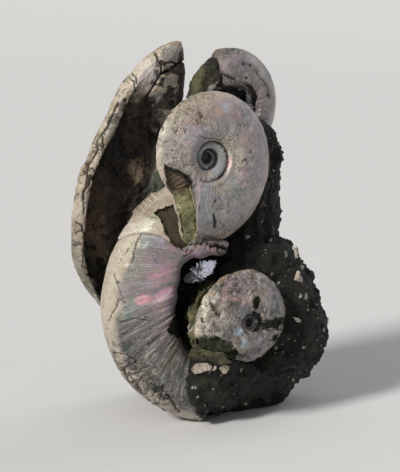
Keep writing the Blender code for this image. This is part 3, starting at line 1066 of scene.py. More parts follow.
@dataclass(frozen=True)
class HardMud:
    """Olive mud that filled a shell: lumpy, dull, with paler and darker specks."""

    name: str
    pale: Colour = (0.30, 0.29, 0.17)
    deep: Colour = (0.030, 0.032, 0.014)

    def make(self) -> bpy.types.Material:
        """Build the material.

        Returns:
            The material.
        """
        bench = Bench(self.name)
        lumps, grains = bench.noise(3.4, 4.0, 0.6), bench.noise(0.9, 4.0, 0.7)
        base = bench.own("tint", "Color")
        base = bench.layered(
            base,
            (lumps.eased(0.53, 0.68) * 0.6, self.pale),
            (lumps.eased(0.46, 0.34) * 0.7, self.deep),
            (grains.eased(0.47, 0.34) * 0.6, self.deep),
        )
        flecks = bench.cells(2.2, "F1", bench.bent(1.5, 1.2)).eased(0.15, 0.08) * bench.noise(7.0).eased(0.56, 0.66)
        base = bench.layered(
            base,
            (flecks * 0.8, (0.52, 0.50, 0.40)),
            (bench.own("wear") * 0.85, (0.010, 0.010, 0.007)),
        )
        bench.wire(Base_Color=base, Roughness=grains * 0.25 + 0.62)
        bench.raise_by(lumps * 1.1 + grains * 0.9, 0.9, 0.8)
        return bench.material


@dataclass(frozen=True)
class OldShell:
    """The broken whorl: cracked cream shell outside, rough brown crystals inside."""

    name: str = "old_shell"

    def make(self) -> bpy.types.Material:
        """Build the material.

        Returns:
            The material.
        """
        bench = Bench(self.name)
        inside, craze, wear = bench.own("inside"), bench.own("craze"), bench.own("wear")
        mottle, lumps = bench.noise(2.4, 4.0, 0.65), bench.noise(6.5, 4.0, 0.6)
        sugar = bench.cells(1.5, "F1", bench.bent(1.5, 0.8))
        speckle = bench.noise(0.9, 4.0, 0.7)
        base = bench.own("tint", "Color")
        base = bench.layered(
            base,
            (mottle.eased(0.52, 0.70) * (inside * -0.35 + 0.45), (0.13, 0.095, 0.065)),
            (mottle.eased(0.46, 0.32) * (1.0 - inside) * 0.30, (0.66, 0.62, 0.56)),
            (speckle.eased(0.54, 0.64) * (1.0 - inside) * 0.60, (0.085, 0.062, 0.042)),
            (lumps.eased(0.48, 0.36) * inside * 0.8, (0.009, 0.006, 0.005)),
            (lumps.eased(0.57, 0.68) * inside * 0.30, (0.11, 0.075, 0.043)),
            (sugar.eased(0.26, 0.12) * inside * 0.12, (0.22, 0.17, 0.12)),
        )
        crooked = bench.bent(4.0, 1.3)
        gate = bench.noise(8.0, 2.0).eased(0.48, 0.56)
        seams = bench.cells(8.0, vector=crooked).eased(0.050, 0.014) * gate
        fine = bench.cells(2.8, vector=crooked).eased(0.07, 0.02) * gate * 0.55
        dark = bench.highest(bench.highest(seams, fine) * craze, wear)
        base = bench.mix(dark * 0.93, base, (0.012, 0.009, 0.006))
        bench.wire(Base_Color=base, Roughness=mottle * 0.25 + inside * 0.18 + 0.38, Coat_Weight=0.08)
        height = mottle * 0.7 - dark * 1.0 + speckle * 0.4 + (sugar * -0.8 + lumps * 1.2) * inside
        bench.raise_by(height, 0.9, 0.8)
        return bench.material


@dataclass(frozen=True)
class WhiteCrystal:
    """White crystals: glassy and cloudy, with a faint painted glow that stands in for light."""

    name: str = "white_crystal"

    def make(self) -> bpy.types.Material:
        """Build the material.

        Returns:
            The material.
        """
        bench = Bench(self.name)
        cloud = bench.noise(2.2, 3.0, 0.6)
        base = bench.mix(cloud.eased(0.42, 0.58), (0.74, 0.75, 0.86), (0.98, 0.98, 1.0))
        base = bench.mix(bench.own("wear"), base, (0.035, 0.035, 0.042))
        bench.wire(
            Base_Color=base,
            Roughness=cloud * 0.20 + 0.12,
            Transmission_Weight=0.04,
            IOR=1.50,
            Coat_Weight=0.3,
            # Painted light: a faint glow in the crystals' own colour.
            Emission_Color=base,
            Emission_Strength=0.16,
        )
        bench.raise_by(bench.noise(0.6, 3.0), 0.25, 0.15)
        return bench.material


def finish_piece(
    obj: bpy.types.Object, name: str, material: bpy.types.Material, angle: float = 50.0,
) -> bpy.types.Object:
    """Name, smooth, dress and hook up a piece.

    Args:
        obj: the finished mesh.
        name: the solid that it stands for.
        material: its finish.
        angle: edges sharper than these degrees stay sharp.

    Returns:
        The piece.
    """
    obj.name = name + "_fine"
    obj.data.name = obj.name
    obj.data.materials.clear()
    obj.data.materials.append(material)
    select_only(obj)
    bpy.ops.object.shade_smooth_by_angle(angle=math.radians(angle))
    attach(obj, "root")
    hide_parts(name)
    triangles = sum(len(face.vertices) - 2 for face in obj.data.polygons)
    LOG.info("%s: %d triangles", obj.name, triangles)
    return obj


@dataclass(frozen=True)
class Dug:
    """What the broken-in areas made of a surface, point by point."""

    inside: Array
    floors: Array
    pale: Array

    def over(self, base: Array) -> Array:
        """Lay the floors and the pale broken edges over the colours."""
        base = base * (1.0 - self.inside[:, None]) + self.floors * self.inside[:, None]
        return blended(base, Tint.BONE, self.pale)

    def darkened(self, dark: Array) -> Array:
        """Add a painted shadow line along the areas' edges, where the edge isn't pale."""
        edge = 4.0 * self.inside * (1.0 - self.inside)
        return np.clip(np.maximum(dark * (1.0 - self.inside), 0.8 * edge - 1.5 * self.pale), 0.0, 1.0)


@dataclass(frozen=True)
class Marks:
    """What age and breakage left on a shell's front, with some painted highlights and shade, by places on the picture.
    """

    patches: tuple[Patch, ...] = ()
    late_patches: tuple[Patch, ...] = ()
    cracks: tuple[Crack, ...] = ()
    pits: tuple[tuple[float, float, float, float], ...] = ()
    hollows: tuple[Hollow, ...] = ()

    def dig(self, surface: Surface, front: Array) -> Dug:
        """Push the broken areas in, away from the viewer.

        Args:
            surface: the mesh as it is now.
            front: 1 for the points that look at the viewer.

        Returns:
            How far each point is inside, what it shows, and how pale its edge is.
        """
        away, _ = VIEW.axes()
        inside, pale, floors = np.zeros(len(front)), np.zeros(len(front)), np.zeros((len(front), 3))
        depth = np.zeros(len(front))
        for hollow in self.hollows:
            amount = hollow.amount(surface, front)
            deep, colours = hollow.floor(surface)
            depth = depth * (1.0 - amount) + deep * amount
            floors = floors * (1.0 - amount[:, None]) + colours * amount[:, None]
            inside = np.maximum(inside, amount)
            pale = np.maximum(pale, hollow.pale * 4.0 * amount * (1.0 - amount))
        surface.move(away * depth[:, None])
        floors /= np.maximum(inside, 1e-6)[:, None]
        return Dug(inside, np.clip(floors, 0.0, 1.0), pale)

    def colours(self, surface: Surface, base: Array, front: Array) -> Array:
        """Lay the patches over the base colours.

        Args:
            surface: the mesh as it is now.
            base: the colours below, one a point.
            front: 1 for the points that look at the viewer.

        Returns:
            The colours with the patches on them.
        """
        ragged = surface.rough(4.5, 3, 5)
        for patch in self.patches:
            base = blended(base, patch.tint, patch.mask(surface.pixels, ragged) * front)
        return base

    def wear(self, surface: Surface, front: Array) -> tuple[Array, Array]:
        """Darkness and depth of the cracks and pits.

        Args:
            surface: the mesh as it is now.
            front: 1 for the points that look at the viewer.

        Returns:
            The darkness from 0 to 1 and the depth in millimetres, one a point.
        """
        shift = [0.55 * surface.grain(2.3, seed) + 0.5 * surface.grain(6.0, seed) for seed in (21, 22)]
        pixels = surface.pixels + np.stack(shift, axis=1)
        dark, depth = np.zeros(len(pixels)), np.zeros(len(pixels))
        for crack in self.cracks:
            near = crack.nearness(pixels) * front
            dark = np.maximum(dark, near * crack.dark)
            depth = np.maximum(depth, near * crack.depth)
        for across, down, size, deep in self.pits:
            reach = np.linalg.norm(pixels - np.array((across, down)), axis=1) / size
            near = smooth((1.25 - reach) / 0.5) * front
            dark = np.maximum(dark, near)
            depth = np.maximum(depth, near * deep)
        return dark, depth


@dataclass(frozen=True)
class CoiledShell:
    """A closed coil of whorls with the same spiral as its solid, drawn much finer."""

    name: str
    stand: Stand
    sense: int
    mouth: float
    radius: float
    growth: float
    seam: float
    wall: float
    half_thickness: float
    lead: float
    marks: Marks
    nacre: Nacre
    turns: float = 3.6
    stations: int = 150
    inner_columns: int = 14
    outer_columns: int = 34
    rib_height: float = 0.012
    bulge: float = 0.075
    corner: tuple[float, float, float] = (1.0, 0.0, 0.0)
    tone: float = 1.0
    stain: float = 0.35
    wrinkle: float = 0.25
    ring: float = 1.0
    blotch: float = 0.15
    widest_at: float = 0.46
    shoulder: float = 0.82
    venter_fall: float = 2.1
    venter_round: float = 0.9
    lead_fade: float = 4.6

    def flank(self, x: Array) -> Array:
        """Half thickness at x of the outer radius, as a share of the widest.

        Args:
            x: place across the whorl, as a share of its outer radius.

        Returns:
            Shares of the widest half thickness.
        """
        widest, wall_top = self.widest_at, self.seam + self.wall
        fall = (np.clip(x - widest, 0.0, None) / (1.0 - widest)) ** self.venter_fall
        outside = np.clip(1.0 - fall, 0.0, None) ** self.venter_round
        middle = self.shoulder + (1.0 - self.shoulder) * smooth((x - wall_top) / (widest - wall_top))
        if self.seam * self.growth >= widest:
            reach = (self.seam * self.growth - widest) / (1.0 - widest)
            foot = (1.0 - reach ** self.venter_fall) ** self.venter_round
        else:
            reach = (self.seam * self.growth - wall_top) / (widest - wall_top)
            foot = self.shoulder + (1.0 - self.shoulder) * float(smooth(np.array(reach)))
        foot /= self.growth
        rise = np.sin(0.5 * np.pi * np.clip((x - self.seam) / self.wall, 0.0, 1.0))
        inside = foot + (self.shoulder - foot) * rise
        return np.where(x >= widest, outside, np.where(x >= wall_top, middle, inside))

    def slide(self, back: Array, x: Array) -> Array:
        """How far a point slides on along the coil, in turns, so that the mouth leans.

        Args:
            back: turns before the mouth.
            x: place across the whorl, as a share of its outer radius.

        Returns:
            Turns, one a point.
        """
        lead = self.lead / 360.0
        near = lead * (1.0 - x) / (1.0 - self.seam) * smooth(1.0 - self.lead_fade * back)
        met = self.seam * self.growth
        share = smooth((x - self.seam) / (met - self.seam)) * (1.0 - x / self.growth) / (1.0 - self.seam)
        far = lead * share * smooth(1.0 - self.lead_fade * np.abs(back - 1.0))
        return np.where(back < 0.5, near, far)

    def local(self, back: Array, x: Array, side: Array) -> Array:
        """Points of the coil, so many turns before its mouth.

        Args:
            back: turns before the mouth.
            x: place across the whorl, as a share of its outer radius.
            side: 1 on the near flank and -1 on the far one.

        Returns:
            Places in the stand's frame.
        """
        radius = self.radius * self.growth ** (-back)
        angle = np.radians(self.mouth - self.sense * 360.0 * back)
        between_seams = np.clip((x - self.seam) / (self.seam * (self.growth - 1.0)), 0.0, 1.0)
        swollen = self.bulge * np.sin(np.pi * between_seams) * ramp(back, 0.98, 1.08)
        height = side * (self.flank(x) * self.half_thickness + swollen) * radius
        out = x * radius * (1.0 - self.corner_loss(back, x))
        return np.stack([out * np.cos(angle), out * np.sin(angle), height], axis=1)

    def corner_loss(self, back: Array, x: Array) -> Array:
        """Share of the radius that is gone here, where the corner of the mouth has broken off."""
        turns, begin, depth = self.corner
        return depth * smooth(1.0 - back / turns) * smooth((x - begin) / (1.0 - begin))

    def behind(self, design: Array, gap: float = 0.4) -> Array:
        """The way that points have to move to lie just behind this shell, in the drawing.

        Args:
            design: places in the drawing's millimetres.
            gap: room to leave in millimetres.

        Returns:
            The move in millimetres, one a point.
        """
        across, toward = self.stand.axes()
        offset = design - np.array(self.stand.centre)
        right, up, near = offset @ across, offset[:, 2], offset @ toward
        angle = np.degrees(np.arctan2(up, right))
        back = ((self.mouth - angle) / (360.0 * self.sense)) % 1.0
        radius = self.radius * self.growth ** (-back)
        x = np.hypot(right, up) / radius
        x = x / (1.0 - self.corner_loss(back, x))
        depth = self.flank(np.clip(x, self.seam, 1.0)) * self.half_thickness * radius
        excess = np.clip(near + depth + gap, 0.0, None) * (x < 1.0 + gap / radius)
        return -toward * excess[:, None]

    def columns(self) -> Array:
        """Places across a whorl from its seam to its keel, closer together at both ends.

        Returns:
            Shares of the outer radius, from the seam to the keel.
        """
        met = self.seam * self.growth
        low = self.seam + (met - self.seam) * np.linspace(0.0, 1.0, self.inner_columns + 1) ** 1.25
        high = met + (1.0 - met) * np.sin(0.5 * np.pi * np.linspace(0.0, 1.0, self.outer_columns + 1)) ** 0.9
        return np.concatenate([low, high[1:]])

    def strip(self, first: int, last: int, across: Array, sides: Array) -> bpy.types.Object:
        """One stretch of the spiral as a shaped grid.

        Args:
            first: station that it begins at.
            last: station that it ends at.
            across: columns across the whorl.
            sides: flank of each column.

        Returns:
            The shaped grid.
        """
        obj, at, over = new_grid(self.name, last - first, len(across) - 1)
        back = (round(self.turns * self.stations) - first - at) / self.stations
        x, side = across[over], sides[over]
        back = back - self.slide(back, x)
        put_points(obj, self.stand.placed(self.local(back, x, side)))
        keep_own(obj, back=back, x=x, side=side)
        return obj

    def mesh(self) -> bpy.types.Object:
        """The last whorl, and before it the two strips that show in the navel.

        Returns:
            The closed coil.
        """
        columns = self.columns()
        end = round(self.turns * self.stations)
        start = end - self.stations
        whole = np.concatenate([columns, columns[-2::-1]])
        sides = np.concatenate([np.ones(len(columns)), -np.ones(len(columns) - 1)])
        inner = columns[: self.inner_columns + 1]
        parts = [
            self.strip(start, end, whole, sides),
            self.strip(0, start, inner, np.ones(len(inner))),
            self.strip(0, start, inner, -np.ones(len(inner))),
        ]
        return joined(parts)

    def shape(self, surface: Surface, front: Array) -> tuple[Array, Array, Array]:
        """Raise the ribs, waves and plates, sink the cracks, and paint shade along the navel's seams.

        Args:
            surface: the mesh as it is now.
            front: 1 for the points that look at the viewer.

        Returns:
            For each point its place along the growth lines, its darkness (painted shade included) and its crackle.
        """
        back, x = surface.own("back"), surface.own("x")
        met = self.seam * self.growth
        radius = self.radius * self.growth ** (-back)
        line = back + 0.020 * np.sin(2.6 * np.pi * (x - self.seam)) - 0.055 * x ** 3
        ribs = self.nacre.ribs
        rib = np.sin(2.0 * np.pi * ribs * line) * self.rib_height * radius * self.ribbed(back, x)
        fold = 0.16 * np.sin(2.0 * np.pi * 0.37 * ribs * line + 2.5 * surface.grain(11.0, 4))
        fold = fold * ramp(x, met + 0.30, met) * ramp(x, self.seam, self.seam + self.wall)
        fine = 0.05 * np.sin(2.0 * np.pi * 1.7 * ribs * line + 2.0 * surface.grain(9.0, 3))
        swell = 0.34 * surface.grain(14.0, 1) + self.wrinkle * surface.rough(4.0, 3, 2)
        surface.push((rib + (fold + fine) * ramp(x, self.seam, met) + swell) * ramp(back, -0.2, 0.02))
        gap, number = surface.plates(8.0, 0.5, 2)
        flaking = smooth(-0.1 + 1.9 * surface.grain(13.0, 9)) * ramp(x, met - 0.06, met + 0.05)
        dark, depth = self.marks.wear(surface, front)
        # Painted shade: dark along each seam, and over the outer part of each inner whorl, nearly black on the
        # innermost ones.
        seam_shadow = ramp(x, self.seam + 0.42 * self.wall, self.seam + 0.08 * self.wall)
        begin = self.seam + np.where(back > 2.0, 0.25, 0.80) * (met - self.seam)
        whorl_shadow = ramp(x, begin, begin + 0.22 * (met - self.seam)) * (back > 1.02) * (x < met + 0.01)
        dark = np.maximum(dark, np.maximum(0.90 * seam_shadow, np.where(back > 2.0, 0.97, 0.7) * whorl_shadow))
        surface.push(0.20 * (number - 0.5) * flaking - 0.25 * flaking * smooth(1.0 - gap / 0.6) - depth)
        return line, dark, flaking

    def ribbed(self, back: Array, x: Array) -> Array:
        """How strongly the ribs show: on the inner whorls, and faintly at the last one's navel edge.

        Args:
            back: turns before the mouth.
            x: place across the whorl, as a share of its outer radius.

        Returns:
            A strength from 0 to 1, one a point.
        """
        met = self.seam * self.growth
        inner = np.where(back > 1.0, ramp(x, met, met - 0.04), 0.30 * ramp(x, met + 0.02, self.seam + 0.06))
        return inner * ramp(x, self.seam + 0.3 * self.wall, self.seam + self.wall)

    def build(self) -> bpy.types.Object:
        """Mesh, shape, paint and finish the shell.

        Returns:
            The finished piece.
        """
        surface = Surface(self.mesh())
        front = surface.front()
        line, dark, flaking = self.shape(surface, front)
        x, back = surface.own("x"), surface.own("back")
        dug = self.marks.dig(surface, front)
        sound = 1.0 - dug.inside
        stained = np.clip(self.stain + 0.8 * surface.rough(14.0, 3, 19), 0.0, 1.0) * (back < 1.0)
        base = coat(Tint.PEARL, len(x))
        wash = surface.rough(17.0, 3, 11)
        base = layered(
            base,
            (Tint.CREAM, ramp(wash, 0.0, 0.8) * 0.45),
            (Tint.GREY, ramp(wash, -0.1, -0.9) * 0.6),
            (Tint.CREAM, ramp(x, 0.88, 0.99) * 0.7),
            (Tint.TAN, stained * 0.45),
        )
        washed = self.marks.colours(surface, base, front)
        rays = rough(along_lines(line, 300.0, x, 12.0), 5.0, 3, 29)
        patchy = surface.rough(3.2, 3, 37)
        base = base + (washed - base) * np.clip(0.75 + 0.45 * rays + 0.35 * patchy, 0.0, 1.15)[:, None]
        wide = surface.rough(9.0, 3, 41)
        base = np.clip(base * (1.0 + self.blotch * (patchy + 1.2 * wide))[:, None] * self.tone, 0.004, 1.0)
        # Inner whorls: sky-blue pearl, painted highlights on the rib crests and painted shade between them, black
        # towards the centre as painted shade.
        lit = smooth(0.5 + 0.5 * np.sin(2.0 * np.pi * self.nacre.ribs * line)) * (0.75 + 0.4 * wash)
        base = layered(
            base,
            (Tint.SKY, np.where(back > 1.0, self.ring * 0.48, 0.0)),
            (Tint.BONE, np.where(back > 1.0, self.ring * 0.60 * lit, 0.0)),
            (Tint.UMBER, np.where(back > 1.0, 0.45 * (1.0 - lit), 0.0)),
            (Tint.BLACK, ramp(back, 2.1, 2.9) * 0.9),
        )
        surface.set_colour(dug.over(base))
        clear = ramp(x, 0.95, self.seam * self.growth) * 0.40 + 0.12 + 0.30 * surface.grain(16.0, 23)
        sheen = np.clip(0.45 + 0.6 * surface.rough(21.0, 2, 14), 0.0, 1.0)
        surface.set_values(
            wear=dug.darkened(dark),
            craze=np.clip(0.05 + 0.60 * flaking, 0.0, 1.0) * sound,
            ribbed=self.ribbed(back, x) * ramp(back, 2.8, 2.2),
            patina=stained * sound,
            lined=np.clip(clear, 0.05, 1.0) * sound * (back < 1.0),
            dull=dug.inside,
            sheen=sheen * ramp(x, 1.0, 0.9) * sound * (1.0 - 0.5 * stained),
        )
        surface.set_coil(line, x)
        surface.forget("back", "x", "side")
        return surface.finished(self.name, self.nacre.make())


def along_lines(line: Array, line_scale: float, across: Array, across_scale: float) -> Array:
    """Places along and across the growth lines, for noise that is drawn out along them."""
    return np.stack([line * line_scale, across * across_scale, 0.0 * line], axis=1)


def eased_table(table: tuple[tuple[float, float], ...], at: Array) -> Array:
    """Read a table of (place, size) rows, easing from row to row.

    Args:
        table: rows of a place and a size.
        at: the places to read it at.

    Returns:
        One size a place.
    """
    places = np.array([row[0] for row in table], float)
    sizes = np.array([row[1] for row in table], float)
    row = np.clip(np.searchsorted(places, at, side="left") - 1, 0, len(places) - 2)
    share = smooth((at - places[row]) / (places[row + 1] - places[row]))
    return sizes[row] + (sizes[row + 1] - sizes[row]) * share


def rounded(points: Array, count: int, closed: bool) -> Array:
    """Points along a smooth curve through the given ones, evenly by chord.

    Args:
        points: the places to pass through.
        count: how many points to give back.
        closed: whether the curve ends where it begins.

    Returns:
        The curve's points; a closed one repeats its first point at the end.
    """
    if closed:
        whole = np.concatenate([points[-1:], points, points[:2]])
    else:
        whole = np.concatenate([2 * points[:1] - points[1:2], points, 2 * points[-1:] - points[-2:-1]])
    spans = len(whole) - 3
    steps = np.linalg.norm(np.diff(whole[1:-1], axis=0), axis=1)
    lengths = np.concatenate([[0.0], np.cumsum(steps)])
    wanted = np.linspace(0.0, lengths[-1], count)
    span = np.clip(np.searchsorted(lengths, wanted, side="right") - 1, 0, spans - 1)
    t = ((wanted - lengths[span]) / np.maximum(steps[span], 1e-9))[:, None]
    a, b, c, d = (whole[span + step] for step in range(4))
    return 0.5 * (2 * b + (c - a) * t + (2 * a - 5 * b + 4 * c - d) * t ** 2 + (3 * b - a - 3 * c + d) * t ** 3)


@dataclass(frozen=True)
class OpenWhorl:
    """The large open whorl, swept round its navel."""

    marks: Marks
    nacre: Nacre
    before: tuple[CoiledShell, ...]
    name: str = "large_ammonite"
    stand: Stand = Stand((18.6, 0.0, 70.3), 15.0)
    reference: tuple[float, float] = (183.0, 82.6)
    growth: float = 1.715
    half_thickness: float = 0.225
    young_end: float = 254.0
    mouth_end: float = 98.0
    navel: tuple[tuple[float, float], ...] = (
        (90, 44.0), (100, 41.5), (113, 45.0), (134, 47.5), (150, 41.5), (163, 38.5), (198, 36.5), (268, 34.0),
    )
    section: tuple[tuple[float, float], ...] = (
        (0.00, 0.42), (0.03, 0.72), (0.12, 0.93), (0.29, 1.00), (0.46, 0.97), (0.63, 0.86), (0.79, 0.66),
        (0.91, 0.40), (0.975, 0.19),
    )
    dorsum: tuple[tuple[float, float], ...] = ((0.05, 0.14), (0.06, -0.14))
    ledge: Crack = Crack((
        (112.0, 246.0), (120.0, 239.5), (127.0, 236.6), (135.0, 234.4), (144.0, 233.8), (153.0, 234.6),
        (160.0, 236.6), (167.0, 240.6), (174.0, 246.5), (181.0, 252.0),
    ), 0.8, 0.0, 0.55)
    steps: int = 500
    ring_steps: int = 180
    ledge_height: float = 0.9
    lean: float = 27.0
    teeth: tuple[float, float] = (132.5, 122.5)
    hook: Patch = Patch(Tint.PINK, 211.0, 252.0, 15.0, 8.0, 1.0, -6.0, 0.8)
    hook_drop: tuple[float, float, float] = (0.0, 0.0, -2.6)
    flaked: Patch = Patch(Tint.CREAM, 133.0, 384.0, 40.0, 26.0, 1.0, 45.0, 0.6)
    pearly: Patch = Patch(Tint.PINK, 152.0, 300.0, 38.0, 75.0, 1.0, 20.0, 0.8)
    worn_and_shaded_down: tuple[float, float] = (300.0, 365.0)
    streaked_down: tuple[float, float] = (285.0, 335.0)
    lined_down: tuple[float, float] = (285.0, 320.0)
    bone_down: tuple[float, float] = (218.0, 226.0)
    tan_across: tuple[float, float] = (140.0, 158.0)

    def ring(self) -> Array:
        """The section's outline as places out from the navel and shares of the half thickness.

        Returns:
            The outline, whose last point meets its first.
        """
        front = [(along, share) for along, share in self.section]
        rear = [(along, -share) for along, share in reversed(self.section)]
        points = np.array([*front, (1.0, 0.0), *rear, *self.dorsum])
        return rounded(points, self.ring_steps + 1, True)

    def mesh(self) -> bpy.types.Object:
        """Sweep the section from the sawn young end to the mouth end.

        Returns:
            The closed sweep.
        """
        obj, at, over = new_grid(self.name, self.steps, self.ring_steps)
        angle = self.young_end + (self.mouth_end - self.young_end) * at / self.steps
        ring = self.ring()
        ring[-1] = ring[0]
        along, share = ring[over, 0], ring[over, 1]
        outer = self.reference[1] * self.growth ** ((self.reference[0] - angle) / 360.0)
        inner = eased_table(self.navel, angle)
        out = inner + along * (outer - inner)
        turned = np.radians(angle)
        local = np.stack([out * np.cos(turned), out * np.sin(turned), share * self.half_thickness * outer], axis=1)
        put_points(obj, self.stand.placed(local))
        keep_own(obj, angle=angle, along=along, share=share)
        return joined([obj])

    def above_ledge(self, surface: Surface) -> Array:
        """1 where the last layer of shell is still on, outside the stepped ledge.

        Args:
            surface: the mesh as it is now.

        Returns:
            One value a point.
        """
        line = np.array(self.ledge.points)
        wobble = 0.5 * surface.grain(4.0, 31)
        edge = np.interp(surface.pixels[:, 0], line[:, 0], line[:, 1]) + wobble
        return smooth(edge - surface.pixels[:, 1]) * smooth((line[-1, 0] - surface.pixels[:, 0]) / 2.0)

    def build(self) -> bpy.types.Object:
        """Mesh, shape, paint and finish the whorl.

        Returns:
            The finished piece.
        """
        surface = Surface(self.mesh())
        for shell in self.before:
            surface.move(shell.behind(surface.places))
        angle, along = surface.own("angle"), surface.own("along")
        front = surface.front() * (surface.own("share") > -0.02)
        line = (angle - self.lean * along ** 0.8) / 360.0
        streaks = along_lines(line, 400.0, along, 9.0)
        fade = ramp(along, 0.0, 0.1)
        flat = ramp(along, 0.95, 0.7)
        ripple = 0.10 * np.sin(2.0 * np.pi * 75.0 * line + 1.5 * surface.grain(15.0, 2)) * flat
        fine = 0.09 * flat * np.sin(2.0 * np.pi * 250.0 * line + 2.5 * surface.grain(7.0, 3))
        fold = 0.85 * rough(streaks, 6.5, 3, 4) * ramp(along, 0.75, 0.25)
        swell = 0.45 * surface.grain(19.0, 1) + 0.24 * surface.rough(5.0, 3, 6)
        keel = ramp(along, 0.90, 0.995)
        tooth_zone = ramp(angle, self.teeth[0] + 1.5, self.teeth[0]) * ramp(angle, self.teeth[1] - 1.5, self.teeth[1])
        tooth_zone = tooth_zone * ramp(along, 0.955, 0.985)
        tooth = tooth_zone * np.abs(np.sin(np.radians(angle) * 165.0)) * 1.9
        surface.push((ripple + fine + fold) * fade + swell + tooth)
        hook = self.hook.mask(surface.pixels, 0.0 * along)
        surface.move(np.outer(hook * ramp(surface.normals[:, 2], 0.2, -0.5), self.hook_drop))
        above = self.above_ledge(surface) * front
        lower = self.flaked.mask(surface.pixels, surface.rough(9.0, 3, 8))
        rear = 1.0 - smooth((surface.facing + 0.4) / 0.5)
        flaking = np.clip(np.maximum(lower * front, 0.8 * rear) + 0.25 * keel, 0.0, 1.0)
        gap, number = surface.plates(9.0, 0.35, 3)
        split = flaking * smooth(1.0 - gap / 0.9)
        dark, depth = self.marks.wear(surface, front)
        dark = np.maximum(dark, self.ledge.nearness(surface.pixels) * self.ledge.dark * front)
        dark = np.maximum(dark, 0.85 * split)
        surface.push(self.ledge_height * above - 0.6 * split + 0.9 * (number - 0.5) * flaking - depth)
        self.paint(surface, front, above, self.marks.dig(surface, front), dark, flaking, line)
        surface.keep_inside()
        sawn_off(surface.obj)
        return finish_piece(surface.obj, self.name, self.nacre.make())

    def paint(
        self, surface: Surface, front: Array, above: Array, dug: Dug, dark: Array, flaking: Array, line: Array,
    ) -> None:
        """Colour washes, painted shade towards the bottom, painted highlights, darkness, crackle and sheen.

        Args:
            surface: the mesh as it is now.
            front: 1 for the points that look at the viewer.
            above: 1 where the last layer of shell is still on.
            dug: what the broken-in areas made of it.
            dark: darkness of the cracks and pits.
            flaking: how far the shell is crazed and flaked.
            line: place along the growth lines.
        """
        along, down = surface.own("along"), surface.pixels[:, 1]
        sound = 1.0 - dug.inside
        base = coat(Tint.PEARL, len(along))
        wash = surface.rough(19.0, 3, 11)
        streak = rough(along_lines(line, 560.0, along, 8.0), 6.0, 3, 5)
        mottle, rays = surface.rough(6.0, 3, 15), np.clip(0.70 + 0.9 * streak, 0.0, 1.2)
        base = blended(base, Tint.GREY, ramp(wash, 0.3, -0.7) * 0.5)
        base = base + (self.marks.colours(surface, base, front) - base) * rays[:, None]
        # Painted shade: the flank darkened, more so towards the bottom, and the front darker towards the bottom; the
        # same ramp brings out the wear on the lower rim.
        flank = ramp(along, 0.94, 0.80)
        low = ramp(down, *self.worn_and_shaded_down)
        base = base * (1.0 - flank * front * (0.42 + 0.34 * low))[:, None] * (1.0 - 0.22 * low * front)[:, None]
        base = base * (1.0 + (0.25 + 0.50 * ramp(down, *self.streaked_down)) * streak * flank + 0.16 * mottle)[:, None]
        rim = ramp(along + 0.05 * wash + 0.02 * mottle, 0.79, 0.90)
        base = layered(
            base,
            (Tint.CREAM, rim * (0.85 - 0.25 * low)),
            (Tint.TAN, rim * ramp(mottle, 0.2, 0.9) * (0.35 + 0.4 * low)),
            (Tint.UMBER, rim * ramp(mottle + 0.3 * wash, 0.5, 1.0) * low * 0.6),
            (Tint.CREAM, (1.0 - ramp(surface.facing, -0.5, 0.0)) * 0.7),
            ((0.42, 0.36, 0.28), above * 0.8),
            (Tint.BONE, above * ramp(down, *self.bone_down) * 0.5),
            (Tint.TAN, above * ramp(wash, 0.0, 0.8) * ramp(surface.pixels[:, 0], *self.tan_across) * 0.6),
        )
        # Laid last: real stains, and painted highlights.
        for stain in self.marks.late_patches:
            base = blended(base, stain.tint, stain.mask(surface.pixels, 0.6 * mottle + 1.6 * streak) * front)
        surface.set_colour(dug.over(base))
        stained = np.clip(0.08 + 0.55 * flaking + 0.30 * wash + 0.35 * low, 0.0, 1.0)
        lined = (0.15 + 0.85 * ramp(along, 0.92, 0.55)) * (0.40 + 0.60 * ramp(down, *self.lined_down))
        sheen = np.clip(0.15 + 0.75 * self.pearly.mask(surface.pixels, wash), 0.0, 1.0)
        surface.set_values(
            wear=dug.darkened(dark),
            craze=np.clip(0.03 + 0.50 * flaking, 0.0, 1.0) * sound,
            patina=stained * sound,
            lined=lined * (1.0 - above) * sound,
            dull=dug.inside,
            ribbed=0.0,
            sheen=sheen * sound * (1.0 - above) * (1.0 - rim),
        )
        surface.set_coil(line, along)
        surface.forget("angle", "along", "share")


